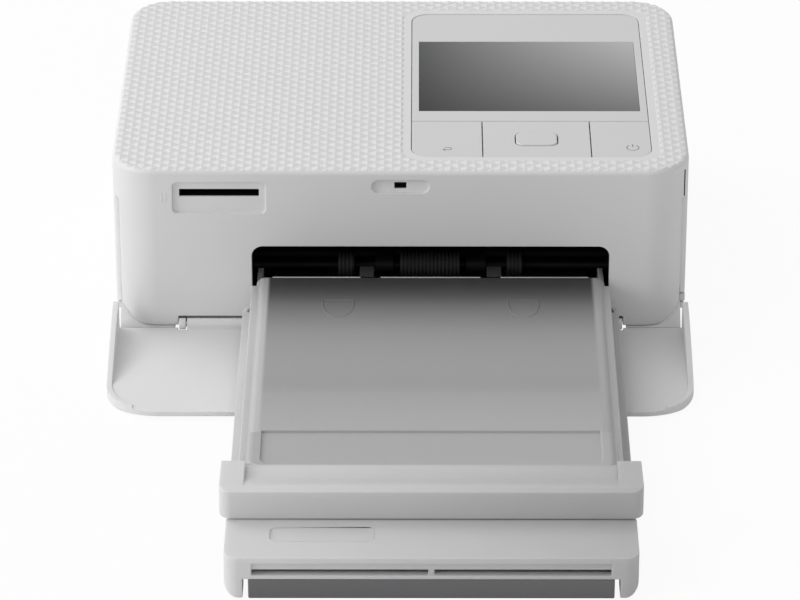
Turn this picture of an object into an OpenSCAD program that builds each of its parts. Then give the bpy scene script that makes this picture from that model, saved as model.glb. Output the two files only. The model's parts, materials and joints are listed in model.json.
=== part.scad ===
// Compact photo printer with its front cover open and its paper cassette in place.
// Body coordinates: X to the right, front towards -Y, Z up from the table, millimetres.
// The body is centred on x = 0, y = 0. The finished pieces are moved along Y at the end,
// so that the origin lies under the centre of the whole object.

/* [Body] */
// Width over the side covers
body_w = 182.2; // [178:0.2:190]
// Depth from the front panel to the rear wall
body_d = 130; // [128:0.5:136]
// Height from the table to the top face
body_h = 57.6; // [57:0.2:62]
// Radius of the upright corners of the body
corner_r = 14; // [12:0.5:16]
// Radius along the top edge
top_edge_r = 1.6; // [0.8:0.1:2]
// Wall of the mouldings
wall = 2; // [1.6:0.1:2.2]
// Thickness of the side covers
side_t = 2.2; // [1.8:0.1:2.4]
// Height of the feet under the floor
foot_h = 2.8; // [2.4:0.1:3.4]
// Radius of a foot
foot_r = 5; // [4:0.5:6]
// Height of the full-width band below the top face
band_h = 12.6; // [11:0.2:13]
// Radius of the lower corners of the front panel, seen from the front
chin_r = 9; // [6:0.5:10]

/* [Front panel] */
// Width of the cassette opening
slot_w = 113.1; // [112.6:0.1:116]
// Centre line of the paper path, from the middle of the body
path_x = 9.5; // [8:0.1:10]
// Height of the top edge of the cassette opening
slot_top = 31; // [30:0.2:33]
// Radius of the upper corners of the cassette opening
slot_r = 3.5; // [2:0.25:5]
// Width of the card slot
card_w = 25.1; // [24.6:0.1:26]
// Height of the card slot
card_h = 2.5; // [2.2:0.1:3]
// Centre of the card slot, from the left side of the body
card_inset = 34.1; // [31:0.1:36]
// Margin of the recess round the card slot
card_margin = 2.1; // [1.5:0.1:2.5]
// Width of the finger recess above the opening
pill_w = 18.2; // [14:0.2:22]
// Height of the finger recess
pill_h = 4.5; // [4:0.1:6]
// Depth of the recesses in the front panel
recess_deep = 1.1; // [0.8:0.1:1.2]

/* [Front cover] */
// Length of the front cover from its hinge line
cover_len = 54.5; // [50:0.5:56]
// Thickness of the front cover
cover_t = 2.6; // [2.2:0.1:2.8]
// Radius of its outer corners
cover_r = 17; // [12:0.5:20]
// Overhang of the front cover past the body on each side
cover_over = 0.2; // [0:0.05:0.4]
// Width of the rims at the sides of the front cover
rim_w = 1.8; // [1.4:0.1:2]
// Height of the rims at the hinge
rim_h = 12; // [8:0.5:13]
// Height of the rims at the outer corners
rim_low = 3; // [2.8:0.1:4]
// Radius of the hinge barrel
barrel_r = 1.8; // [1.6:0.1:2]
// Length of the hinge barrel
barrel_len = 136; // [120:1:140]

/* [Top panel and keys] */
// Width of the smooth panel in the top
panel_w = 76.2; // [74:0.2:78]
// Depth of the smooth panel
panel_d = 108.6; // [106:0.2:110]
// Margin between the smooth panel and the right side of the body
panel_margin = 11.6; // [11:0.1:14]
// Radius of the corners of the smooth panel
panel_r = 6; // [3:0.5:8]
// Width of the display window, 3.5 inches on the diagonal
lcd_w = 71.2; // [69:0.2:72]
// Depth of the display window
lcd_d = 53.2; // [50:0.2:54]
// Depth of the row of keys
keys_d = 25.7; // [24:0.1:27]
// Width of the left key
menu_w = 22.3; // [20:0.1:24]
// Width of the middle key
nav_w = 34; // [32:0.2:36]
// Width of the centre key
ok_w = 13.1; // [12:0.1:14]
// Depth of the centre key
ok_d = 9.3; // [8:0.1:10]
// Gap round a key
key_gap = 0.35; // [0.3:0.05:0.4]
// Travel of the pressed keys
key_travel = 0.7; // [0.4:0.05:0.8]

/* [Ink door] */
// Distance from the ink door's hinge edge to the rear wall
door_behind = 31.3; // [29:0.1:34]
// Radius of the door hinge pin
door_pin_r = 0.6; // [0.5:0.05:0.65]

/* [Cassette] */
// Width of the cassette outside the printer
tray_w = 119; // [118:0.2:120]
// Width of the part that goes into the printer
nose_w = 110.3; // [109.6:0.1:110.8]
// Reach of the cassette in front of the front panel
tray_reach = 160; // [156:0.5:166]
// Length of the part inside the printer
nose_len = 20.5; // [18:0.25:22]
// Height of the underside of the cassette above the table
tray_z = 7; // [6.8:0.1:7.4]
// Height of the side walls of the cassette
tray_h = 4.6; // [4.2:0.1:5]
// Wall of the cassette
tray_wall = 1.6; // [1.4:0.1:1.8]
// Depth of the deck in front of the cover's lip
deck_d = 21.2; // [20:0.2:24]
// Height of the deck above the table
deck_z = 14.1; // [13.8:0.1:15]
// Width of the flat plate of the cassette cover
plate_w = 103.5; // [102.5:0.5:104]
// Height of the cassette cover above the table
plate_z = 20.4; // [20:0.1:21]
// Thickness of the cassette cover
lid_t = 1.2; // [1:0.1:1.4]
// Width over the lip and its ears
lip_w = 123; // [122.5:0.1:125]
// Height of the top of the lip above the table
lip_z = 24; // [22:0.2:26]
// Length of the ears at the ends of the lip
ear_len = 24; // [18:1:30]
// Height of the foot bar under the front of the cassette
bar_h = 6.6; // [6:0.1:6.8]
// Width of the foot bar
bar_w = 105; // [95:1:106]
// Width of the paper
paper_w = 100; // [89:1:101]
// Length of the paper
paper_len = 148; // [140:1:148]
// Thickness of the stack of paper
stack_t = 2.8; // [1:0.1:3]

/* [Paper drive] */
// Pick-up shaft behind the front panel
pick_in = 13.1; // [12.8:0.1:13.4]
// Height of the pick-up shaft above the table
pick_h = 17.75; // [17.5:0.05:18]
// Platen shaft behind the front panel
platen_in = 67.5; // [67:0.1:68]
// Height of the platen shaft above the table
platen_h = 17; // [16.8:0.1:17.2]
// Height of the ribbon spools above the platen shaft
spool_rise = 18; // [17.6:0.1:18.4]
// Take-up spool behind the platen shaft
take_reach = 19.86; // [19.7:0.02:20]
// Supply spool in front of the platen shaft
supply_reach = 18; // [17.8:0.1:19]
// Height of the head's hinge above the platen shaft
head_rise = 32; // [31:0.5:33]
// Head's hinge behind the platen shaft
head_reach = 10; // [9:0.5:11]
// Gear module
gear_m = 0.8; // [0.79:0.005:0.8]
// Width of the gears
gear_w = 4; // [3:0.25:4.2]
// Radius of the pick-up shaft
pick_shaft_r = 1; // [0.8:0.05:1.1]
// Radius of the pick-up rollers
pick_r = 4.2; // [3.8:0.1:4.4]
// Radius of the platen roller
platen_r = 6.5; // [6:0.1:6.5]
// Radius of the grip roller
grip_r = 4; // [3.5:0.1:4]
// Radius of the pinch roller
pinch_r = 3; // [2.5:0.1:3.2]
// Radius of the roller shafts
shaft_r = 2; // [1.8:0.05:2.1]
// Radius of the wound supply roll
supply_r = 9.5; // [8:0.1:9.8]
// Radius of the wound take-up roll
take_r = 7; // [6:0.1:8.4]

/* [Hidden] */
$fn = 48;

// Clearances
fit = 0.2;         // between fixed mouldings
run = 0.05;        // radial, between a turning shaft and its bore
press = 0.02;      // radial, between a shaft and what is fixed on it
eps = 0.01;

// Body
closed_t = 3;                        // depth that the closed front cover adds
front_y = -(body_d + closed_t) / 2 + closed_t;
back_y = front_y + body_d;
mid_y = (front_y + back_y) / 2;
front_w = body_w - 2 * side_t;
side_front_y = front_y + 11.7;       // front edge of the side covers
side_back_y = back_y - corner_r;
case_half = front_w / 2 - fit;
floor_z = foot_h + wall;
band_z = body_h - band_h;
lid_z = body_h - 2.8;                // parting line under the top cover
inner_half = case_half - wall;

// Front panel
half_w = body_w / 2;
card_x = -half_w + card_inset;
card_z = body_h - 8.15;
pill_z = body_h - 5.5;
hinge_y = front_y - 1.1;
hinge_z = foot_h + 1.1;

// Top panel
panel_x = half_w - panel_margin - panel_w / 2;
panel_y = mid_y - 0.4;
panel_top = body_h - 0.15;
key_front_y = panel_y - panel_d / 2 + fit;
key_back_y = key_front_y + keys_d;
key_y = (key_front_y + key_back_y) / 2;
panel_left = panel_x - panel_w / 2 + fit;
panel_right = panel_x + panel_w / 2 - fit;
menu_x = panel_left + menu_w / 2;
nav_x = panel_left + menu_w + key_gap + nav_w / 2;
power_w = panel_right - panel_left - menu_w - nav_w - 2 * key_gap;
power_x = panel_right - power_w / 2;
key_t = 1.3;
key_z = panel_top - key_t;           // underside of the keys
tray_top = key_z - 1.15;             // top of the web under the keys
lcd_y = panel_y + 5.9;
board_z = tray_top - 3.2;

// Chassis
plate_t = 1.5;
plate_l = -inner_half + 8.7;         // outer face of the left plate
plate_r = inner_half - 12.7;         // inner face of the right plate
gear_x = -inner_half + 4.1;          // outer face of the gears
shaft_l = gear_x - 0.3;
shaft_end = plate_r + plate_t + 1;

// Paper drive, shaft centres as [y, z]
pick_c = [front_y + pick_in, pick_h];
platen_c = [front_y + platen_in, platen_h];
teeth_platen = 24;
teeth_feed = 16;
teeth_grip = 19;
teeth_transfer = 16;
teeth_take = 24;
teeth_front = 23;
teeth_middle = 24;
teeth_pick = 20;
teeth_pinion = 12;
function span(a, b) = gear_m * (a + b) / 2;
feed_c = platen_c + [span(teeth_platen, teeth_feed), 0];
grip_c = feed_c + [span(teeth_feed, teeth_grip), 0];
take_c = platen_c + [take_reach, spool_rise];
supply_c = platen_c + [-supply_reach, spool_rise];
middle_c = platen_c - [span(teeth_platen, teeth_middle), 0];
transfer_c = meet(platen_c, span(teeth_platen, teeth_transfer),
                  take_c, span(teeth_transfer, teeth_take));
front_c = meet(pick_c, span(teeth_pick, teeth_front),
               middle_c, span(teeth_front, teeth_middle));
motor_c = middle_c + [0, span(teeth_middle, teeth_pinion)];
pinch_c = grip_c + [0, grip_r + pinch_r + 0.1];
head_c = platen_c + [head_reach, head_rise];

// The point at distance ra from a and rb from b, on the left of the line from a to b
function meet(a, ra, b, rb) =
  let (d = norm(b - a), u = (b - a) / d, s = (d * d + ra * ra - rb * rb) / (2 * d),
       h = sqrt(max(0, ra * ra - s * s)))
  a + s * u + h * [-u[1], u[0]];
function heading(a, b) = atan2(b[1] - a[1], b[0] - a[0]);
// Angle of a tooth of the second gear, in mesh with the first
function mesh(turn, na, nb, way) = way + 180 + 180 / nb - (turn - way) * na / nb;
platen_turn = 0;
feed_turn = mesh(platen_turn, teeth_platen, teeth_feed, heading(platen_c, feed_c));
grip_turn = mesh(feed_turn, teeth_feed, teeth_grip, heading(feed_c, grip_c));
transfer_turn = mesh(platen_turn, teeth_platen, teeth_transfer,
                     heading(platen_c, transfer_c));
take_turn = mesh(transfer_turn, teeth_transfer, teeth_take, heading(transfer_c, take_c));
middle_turn = mesh(platen_turn, teeth_platen, teeth_middle, heading(platen_c, middle_c));
front_turn = mesh(middle_turn, teeth_middle, teeth_front, heading(middle_c, front_c));
pick_turn = mesh(front_turn, teeth_front, teeth_pick, heading(front_c, pick_c));
pinion_turn = mesh(middle_turn, teeth_middle, teeth_pinion, heading(middle_c, motor_c));

// Ribbon cartridge
film_l = path_x - paper_w / 2 - 0.5;
film_r = path_x + paper_w / 2 + 0.5;
cart_l = film_l - 8;
cart_r = film_r + 8;
shell_t = 1.2;
supply_shell = supply_r + 0.9;
take_shell = take_r + 2;

// Cassette
tray_front_y = front_y - tray_reach;
nose_y = front_y + nose_len;
lip_y = tray_front_y + deck_d;       // front face of the lip
shoulder_y = front_y - 2.5;          // where the narrow nose begins
wall_top = tray_z + tray_h;
lid_gap = 0.3;
lid_rear_y = front_y - 0.7;
step_y = lid_rear_y - 97;            // front edge of the raised plate
ramp_y = lip_y + 21;                 // foot of the ramp behind the lip
floor_t = 1.4;
stack_z = tray_z + floor_t + 1.1;
bay_y = nose_y - 1.5;                // rear end of the stack
colour_white = [0.93, 0.93, 0.93];
colour_clear = [0.88, 0.89, 0.9, 0.6];
colour_dark = [0.08, 0.08, 0.085];
colour_steel = [0.72, 0.73, 0.75];
shift_y = -(tray_front_y + back_y) / 2;

// ---------- shared shapes ----------

// Rectangle with round corners, centred
module rounded(w, d, r) {
  square([w - 2 * r, d], center = true);
  square([w, d - 2 * r], center = true);
  for (sx = [-1, 1], sy = [-1, 1])
    translate([sx * (w / 2 - r), sy * (d / 2 - r)]) circle(r);
}

// Rectangle standing on the axis, with its two upper corners rounded
module topped(w, h, r) {
  translate([-w / 2, 0]) square([w, h - r]);
  translate([-w / 2 + r, 0]) square([w - 2 * r, h]);
  for (s = [-1, 1]) translate([s * (w / 2 - r), h - r]) intersection() {
    circle(r);
    translate([-r, 0]) square([2 * r, r]);
  }
}

// Slab with round upright corners and a round top edge, centred on x and y
module slab(w, d, h, rc, re) {
  rotate([90, 0, 90]) translate([0, 0, -w / 2 + rc])
    linear_extrude(w - 2 * rc) topped(d, h, re);
  rotate([90, 0, 0]) translate([0, 0, -d / 2 + rc])
    linear_extrude(d - 2 * rc) topped(w, h, re);
  for (sx = [-1, 1], sy = [-1, 1])
    translate([sx * (w / 2 - rc), sy * (d / 2 - rc), 0]) rotate_extrude() {
      square([rc, h - re]);
      square([rc - re, h]);
      translate([rc - re, h - re]) intersection() {
        circle(re);
        square(re);
      }
    }
}

// Box from its lowest to its highest corner
module block(a, b) translate(a) cube(b - a);

// A 2D outline in y and z, drawn out along X from x0 to x1
module across(x0, x1) translate([x0, 0, 0]) rotate([90, 0, 90])
  linear_extrude(x1 - x0) children();

// A 2D outline in x and z, drawn out along Y from y0 to y1
module along(y0, y1) translate([0, y1, 0]) rotate([90, 0, 0])
  linear_extrude(y1 - y0) children();

// Round bar along X at c = [y, z]
module rod(c, r, x0, x1) translate([x0, c[0], c[1]]) rotate([0, 90, 0])
  cylinder(r = r, h = x1 - x0);

// Involute gear outline, with a tooth centred on the X axis
pressure = 20;
backlash = 0.14;
tip_share = 0.8;
root_share = 1.1;
function involute(a) = tan(a) * 180 / PI - a;
function half_tooth(r, q, rb) =
  (PI * gear_m / 2 - backlash) / (2 * r) * 180 / PI + involute(pressure)
  - involute(acos(min(1, rb / q)));
module gear_outline(n) {
  r = gear_m * n / 2;
  rb = r * cos(pressure);
  root = r - root_share * gear_m;
  tip = r + tip_share * gear_m;
  start = max(rb, root);
  steps = [for (k = [0:2]) start + (tip - start) * k / 2];
  points = [for (i = [0:n - 1]) each concat(
    [[root, i * 360 / n - half_tooth(r, start, rb)]],
    [for (q = steps) [q, i * 360 / n - half_tooth(r, q, rb)]],
    [for (k = [2:-1:0]) [steps[k], i * 360 / n + half_tooth(r, steps[k], rb)]],
    [[root, i * 360 / n + half_tooth(r, start, rb)]])];
  polygon([for (p = points) p[0] * [cos(p[1]), sin(p[1])]]);
}

// Gear on the left of the chassis, with a bore and a hub towards the plate
module gear(c, n, turn, bore) difference() {
  union() {
    translate([gear_x, c[0], c[1]]) rotate([90, 0, 90]) rotate([0, 0, turn])
      linear_extrude(gear_w) gear_outline(n);
    rod(c, bore + 1.2, gear_x, plate_l - 0.3);
  }
  rod(c, bore, gear_x - 1, plate_l + 1);
}

// ---------- casing ----------

// Outline of the full-width body, grown by g
module body_outline(g = 0) translate([0, mid_y])
  rounded(body_w + 2 * g, body_d + 2 * g, corner_r + g);

// Outline of the narrower front and sides
module narrow_outline(g = 0) translate([0, mid_y])
  rounded(front_w + 2 * g, body_d + 2 * g, corner_r - 2 + g);

screw_spots = [[-half_w + 21.1, front_y + 25.5], [inner_half - 6.7, front_y + 25.5],
               [-inner_half + 6.7, back_y - 9.5], [inner_half - 6.7, back_y - 9.5]];
boss_r = 3.2;
boss_top = floor_z + 3.2;
screw_r = 1.2;
rear_slot_z = [19, 24.6];
fan_x = -half_w + 28.1;
fan_z = 33;
fan_size = 25;
jack_x = fan_x;
jack_z = 12;
jack_r = 3.1;
usb_x = half_w - 29.1;
usb_z = 12;
bay_low = platen_c[1] + 4;           // ink bay in the right wall
bay_high = 50;
bay_front = supply_c[0] - supply_shell - shell_t - 3;
bay_back = take_c[0] + take_shell + shell_t + 3;

module lower_case() color(colour_white) difference() {
  union() {
    // floor, narrow at the front, where the panel's lower corners are round
    translate([0, 0, foot_h]) linear_extrude(wall) difference() {
      body_outline(-fit);
      difference() {
        translate([-body_w, front_y - 1]) square([2 * body_w, side_front_y - front_y + 1]);
        intersection() {
          narrow_outline(-wall - fit);
          translate([-front_w / 2 + chin_r, front_y]) square([front_w - 2 * chin_r, body_d]);
        }
      }
    }
    // walls between the side covers
    translate([0, 0, foot_h]) linear_extrude(lid_z - foot_h - fit) difference() {
      narrow_outline(-fit);
      narrow_outline(-fit - wall);
      translate([-body_w, front_y - 1]) square([2 * body_w, side_front_y - front_y + 2]);
    }
    // full-width rear end
    translate([0, 0, foot_h]) linear_extrude(lid_z - foot_h - fit) difference() {
      body_outline();
      body_outline(-wall);
      translate([-body_w, front_y - 1])
        square([2 * body_w, side_back_y + fit - front_y + 1]);
    }
    for (s = [-1, 1]) block([s > 0 ? inner_half : -body_w / 2, side_back_y + fit, foot_h],
      [s > 0 ? body_w / 2 : -inner_half, side_back_y + fit + wall, lid_z - fit]);
    for (p = screw_spots) translate([p[0], p[1], foot_h + wall - eps])
      cylinder(r = boss_r, h = boss_top - floor_z);
    // ears that hold the pins of the front cover
    for (s = [-1, 1]) rod([hinge_y, hinge_z], barrel_r, s * (barrel_len / 2 + 1.45) - 1.05,
                          s * (barrel_len / 2 + 1.45) + 1.05);
    for (s = [-1, 1]) block([s * (barrel_len / 2 + 1.45) - 1.05, hinge_y, hinge_z - 1.1],
      [s * (barrel_len / 2 + 1.45) + 1.05, front_y + wall + 1, hinge_z + 0.9]);
  }
  // ink bay
  block([inner_half - 1, bay_front, bay_low], [body_w, bay_back, bay_high]);
  // recess for the door pin and its knuckles
  door_knuckle_room(fit);
  for (p = screw_spots) translate([p[0], p[1], 0]) {
    cylinder(r = screw_r + run, h = boss_top + 1);
    cylinder(r = 2.6, h = foot_h + 1.5);
  }
  for (s = [-1, 1]) rod([hinge_y, hinge_z], pin_r - press,
    s * (barrel_len / 2 + 1.45) - 2, s * (barrel_len / 2 + 1.45) + 2);
  // slot for the paper as it moves to and fro at the back
  block([film_l - 1.5, back_y - wall - 1, rear_slot_z[0]],
        [film_r + 1.5, back_y + 1, rear_slot_z[1]]);
  // air vents behind the fan and along the right
  for (i = [0:6]) translate([fan_x - 10.5 + i * 3.5, 0, 0])
    along(back_y - wall - 1, back_y + 1) translate([0, fan_z]) rounded(1.8, 22, 0.85);
  for (i = [0:9]) translate([24 + i * 5, 0, 0])
    along(back_y - wall - 1, back_y + 1) translate([0, 41]) rounded(2.2, 12, 1.05);
  translate([jack_x, back_y + 1, jack_z]) rotate([90, 0, 0])
    cylinder(r = jack_r + 1.2, h = wall + 2);
  translate([usb_x, 0, 0]) along(back_y - wall - 1, back_y + 1)
    translate([0, usb_z]) rounded(9.6, 3.9, 1.9);
  // vents in the floor
  for (i = [0:7]) block([-14 + i * 6, 20, foot_h - 1], [-11 + i * 6, 44, floor_z + 1]);
}

module top_cover() color(colour_white) difference() {
  union() {
    difference() {
      translate([0, mid_y, lid_z]) slab(body_w, body_d, body_h - lid_z, corner_r, top_edge_r);
      translate([0, 0, lid_z - 1]) linear_extrude(1 + body_h - lid_z - wall)
        body_outline(-wall - 0.6);
    }
    // rim that locates the cover inside the walls
    translate([0, 0, lid_z - 1.6]) linear_extrude(3) difference() {
      narrow_outline(-2 * fit - wall);
      narrow_outline(-2 * fit - wall - 1.2);
      translate([-body_w, front_y - 1]) square([2 * body_w, 4 + wall]);
    }
  }
  translate([panel_x, panel_y, lid_z - 3]) linear_extrude(10)
    rounded(panel_w, panel_d, panel_r);
}

module opening_outline() {
  translate([path_x - slot_w / 2, -5]) square([slot_w, slot_top - slot_r + 5]);
  translate([path_x - slot_w / 2 + slot_r, -5]) square([slot_w - 2 * slot_r, slot_top + 5]);
  for (s = [-1, 1]) translate([path_x + s * (slot_w / 2 - slot_r), slot_top - slot_r])
    circle(slot_r);
}

module front_panel() color(colour_white) difference() {
  union() {
    translate([0, 0, foot_h]) linear_extrude(band_z - foot_h) narrow_outline();
    translate([0, 0, band_z]) linear_extrude(lid_z - band_z) body_outline();
  }
  translate([0, 0, foot_h - 1]) linear_extrude(band_z - foot_h + 1) narrow_outline(-wall);
  translate([0, 0, band_z - eps]) linear_extrude(body_h) narrow_outline(-wall);
  block([-body_w, side_front_y - fit, 0], [body_w, back_y + 5, body_h]);
  // round lower corners
  along(front_y - 1, side_front_y + 1) for (s = [-1, 1]) difference() {
    translate([s > 0 ? front_w / 2 - chin_r : -front_w / 2 - 1, foot_h - 1])
      square([chin_r + 1, chin_r + 1]);
    translate([s * (front_w / 2 - chin_r), foot_h + chin_r]) circle(chin_r);
  }
  along(front_y - 1, front_y + wall + 1) opening_outline();
  // notch for the hinge of the front cover
  block([-barrel_len / 2 - 2.7, front_y - 1, foot_h - 1],
        [barrel_len / 2 + 2.7, front_y + wall + 1, hinge_z + barrel_r + 0.3]);
  // card slot in its recess
  along(front_y - 1, front_y + recess_deep) translate([card_x, card_z - 1.3])
    rounded(card_w + 2 * card_margin, card_h + 4 * card_margin, 1.6);
  block([card_x - card_w / 2, front_y, card_z - card_h / 2],
        [card_x + card_w / 2, front_y + wall + 1, card_z + card_h / 2]);
  // finger recess and the hole of the catch
  along(front_y - 1, front_y + recess_deep) translate([0, pill_z])
    rounded(pill_w, pill_h, pill_h / 2 - eps);
  block([-1.9, front_y, pill_z - 1.1], [1.9, front_y + wall + 1, pill_z + 1.1]);
}

module catch_plate() color(colour_dark) difference() {
  block([-5, front_y + wall + eps, pill_z - 3], [5, front_y + wall + 2, pill_z + 2.4]);
  block([-1.5, front_y, pill_z - 0.8], [1.5, front_y + wall + 1.2, pill_z + 0.8]);
}

// Outline of a side cover in y and z
module side_outline(y0, y1, z0, z1, r) translate([(y0 + y1) / 2, (z0 + z1) / 2])
  rounded(y1 - y0, z1 - z0, r);

side_z0 = floor_z + fit;
side_z1 = lid_z - fit;
module left_side_cover() color(colour_white) difference() {
  across(-body_w / 2, -front_w / 2) side_outline(side_front_y, side_back_y, side_z0, side_z1, 1.2);
  // its front edge is rounded off
  translate([-body_w / 2, side_front_y, 0]) linear_extrude(body_h) difference() {
    translate([-1, -1]) square([1 + side_t - 0.2, side_t + 0.8]);
    translate([side_t - 0.2, side_t - 0.2]) circle(side_t - 0.2);
  }
}

// Ink door on the right, hinged at its rear edge
door_y1 = back_y - door_behind;
door_hinge = [front_w / 2 + side_t / 2, door_y1 + 1.35];
door_z0 = side_z0 + 3;
door_z1 = side_z1;
knuckle_r = side_t / 2;
knuckles = 5;
knuckle_h = (door_z1 - door_z0) / knuckles;
// Every other knuckle is the door's
module door_knuckles(first, g) for (i = [first:2:knuckles - 1])
  translate([door_hinge[0], door_hinge[1], door_z0 + i * knuckle_h + g])
    cylinder(r = knuckle_r, h = knuckle_h - 2 * g);
module door_knuckle_room(g) translate([door_hinge[0], door_hinge[1], door_z0 - g])
  cylinder(r = knuckle_r + g, h = door_z1 - door_z0 + 2 * g);

module ink_door() color(colour_white) difference() {
  union() {
    across(front_w / 2, body_w / 2)
      side_outline(side_front_y, door_y1, door_z0, door_z1, 1.2);
    door_knuckles(0, 0.1);
    for (i = [0:2:knuckles - 1]) block(
      [front_w / 2, door_y1 - 3, door_z0 + i * knuckle_h + 0.1],
      [body_w / 2, door_hinge[1], door_z0 + (i + 1) * knuckle_h - 0.1]);
  }
  translate([door_hinge[0], door_hinge[1], 0]) cylinder(r = door_pin_r + run, h = body_h);
  // rounded front edge and the finger notch above it
  translate([body_w / 2 - side_t + 0.2, side_front_y, 0]) linear_extrude(body_h)
    difference() {
      translate([0, -1]) square([side_t + 1, side_t + 0.8]);
      translate([0, side_t - 0.2]) circle(side_t - 0.2);
    }
  block([front_w / 2 - 1, side_front_y - 1, band_z + 0.2],
        [front_w / 2 + 1, side_front_y + 7, body_h]);
}

module door_pin() color(colour_steel) translate([door_hinge[0], door_hinge[1], door_z0 - 1.5])
  cylinder(r = door_pin_r, h = door_z1 - door_z0 + 1.5);

module right_side_cover() color(colour_white) difference() {
  union() {
    difference() {
      across(front_w / 2, body_w / 2)
        side_outline(side_front_y, side_back_y, side_z0, side_z1, 1.2);
      // room for the door
      block([0, side_front_y - 1, door_z0 - fit], [body_w, door_hinge[1] + 1.4, body_h]);
    }
    door_knuckles(1, 0.1);
    for (i = [1:2:knuckles - 1]) block(
      [front_w / 2, door_hinge[1], door_z0 + i * knuckle_h + 0.1],
      [body_w / 2, door_hinge[1] + 2.4, door_z0 + (i + 1) * knuckle_h - 0.1]);
  }
  translate([door_hinge[0], door_hinge[1], door_z0 - 1.5])
    cylinder(r = door_pin_r + press, h = body_h);
}

foot_spots = [for (s = [-1, 1]) each [[s * (half_w - 19.1), front_y + 14],
                                     [s * (half_w - 15.1), back_y - 15]]];
module feet() color([0.35, 0.35, 0.36]) for (p = foot_spots) translate([p[0], p[1], 0])
  rotate_extrude() {
    square([foot_r - 0.8, foot_h]);
    translate([0, 0.8]) square([foot_r, foot_h - 0.8]);
    translate([foot_r - 0.8, 0.8]) circle(0.8);
  }

module case_screws() color(colour_steel) for (p = screw_spots) translate([p[0], p[1], 0]) {
  difference() {
    translate([0, 0, foot_h + 0.1]) cylinder(r = 2.4, h = 1.4);
    for (a = [0, 90]) rotate([0, 0, a]) translate([-1.5, -0.35, foot_h])
      cube([3, 0.7, 0.9]);
  }
  translate([0, 0, foot_h + 1]) cylinder(r = screw_r, h = boss_top - foot_h - 1);
}

// ---------- top panel ----------

module control_panel() color([0.9, 0.9, 0.9]) difference() {
  union() {
    translate([0, 0, key_z - 0.5]) linear_extrude(panel_top - key_z + 0.5) intersection() {
      translate([panel_x, panel_y]) rounded(panel_w - 2 * fit, panel_d - 2 * fit, panel_r - fit);
      translate([panel_left - 5, key_back_y + key_gap])
        square([panel_w + 10, panel_d]);
    }
    // web under the keys, with a flange that meets the underside of the top cover
    translate([0, 0, tray_top - 0.8]) linear_extrude(0.8) flange_outline(flange_w);
    translate([0, 0, tray_top - eps]) linear_extrude(body_h - wall - tray_top) difference() {
      flange_outline(flange_w);
      flange_outline(0.2);
    }
    // cradles of the rocking keys
    for (s = [-1, 1]) block([menu_x + s * 7.5 - 0.8, key_y - 1.3, tray_top - 0.1],
      [menu_x + s * 7.5 + 0.8, key_y + 1.3, menu_axis_z]);
    for (s = [-1, 1]) block([nav_x + s * 11.8 - 0.5, key_y - 1, tray_top - 0.1],
      [nav_x + s * 11.8 + 0.5, key_y + 1, gimbal_z + 0.1]);
    block([panel_left + 8, key_back_y + 1, tray_top - 0.4],
          [panel_right - 8, key_back_y + 3, key_z]);
  }
  block([panel_x - lcd_w / 2, lcd_y - lcd_d / 2, 0],
        [panel_x + lcd_w / 2, lcd_y + lcd_d / 2, body_h + 1]);
  rod([key_y, menu_axis_z], menu_pin_r + run, menu_x - 9, menu_x + 9);
  rod([key_y, gimbal_z + 0.1], gimbal_pin_r + run, nav_x - 13, nav_x + 13);
  for (s = stems) translate([s[0], s[1], 0]) cylinder(r = s[2] + 0.4, h = key_z - 0.2);
}
flange_w = 2;
module flange_outline(g) translate([panel_x, panel_y])
  rounded(panel_w + 2 * g, panel_d + 2 * g, panel_r + g);

glass_t = 1.2;
module lcd_glass() color([0.2, 0.21, 0.22]) block(
  [panel_x - lcd_w / 2 + 0.1, lcd_y - lcd_d / 2 + 0.1, panel_top - 0.1 - glass_t],
  [panel_x + lcd_w / 2 - 0.1, lcd_y + lcd_d / 2 - 0.1, panel_top - 0.1]);

module lcd_module() color([0.3, 0.3, 0.32]) union() {
  block([panel_x - lcd_w / 2 + 0.4, lcd_y - lcd_d / 2 + 0.4, panel_top - 4.6],
        [panel_x + lcd_w / 2 - 0.4, lcd_y + lcd_d / 2 - 0.4, panel_top - 0.1 - glass_t]);
  block([panel_x - 9, lcd_y - lcd_d / 2 - 3, board_z + 1.3],
        [panel_x + 9, lcd_y - lcd_d / 2 + 2, board_z + 1.9]);
}

stem_r = 1.6;
nav_stem_r = 0.9;
stem_low = board_z + 3.1;            // tip of a key that is pressed
rock_low = board_z + 2.65;           // tip of a key that rocks
// Stems of the keys, as [x, y, radius]
ok_stem = [nav_x, key_y, stem_r];
power_stem = [power_x, key_y, stem_r];
menu_stems = [for (s = [-1, 1]) [menu_x, key_y + s * keys_d / 4, stem_r]];
nav_stems = [for (s = [-1, 1]) each [[nav_x + s * 13.5, key_y, nav_stem_r],
                                     [nav_x, key_y + s * 10.3, nav_stem_r]]];
stems = concat([ok_stem, power_stem], menu_stems, nav_stems);
module stem(s, low) translate([s[0], s[1], low]) cylinder(r = s[2], h = key_z - low + eps);
// A key's plate between two x places, rounded where it meets the panel's corners
module key_plate(x0, x1, t) translate([0, 0, key_z]) linear_extrude(t) intersection() {
  translate([panel_x, panel_y]) rounded(panel_w - 2 * fit, panel_d - 2 * fit, panel_r - fit);
  translate([x0, key_front_y]) square([x1 - x0, keys_d]);
}

menu_pin_r = 0.45;
menu_axis_z = key_z - 0.6;
module menu_back_key() color(colour_white) union() {
  key_plate(panel_left, panel_left + menu_w, key_t);
  rod([key_y, menu_axis_z], menu_pin_r, menu_x - 8.8, menu_x + 8.8);
  block([menu_x - 6.4, key_y - 0.4, menu_axis_z], [menu_x + 6.4, key_y + 0.4, key_z + eps]);
  for (s = menu_stems) stem(s, rock_low);
}

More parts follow.
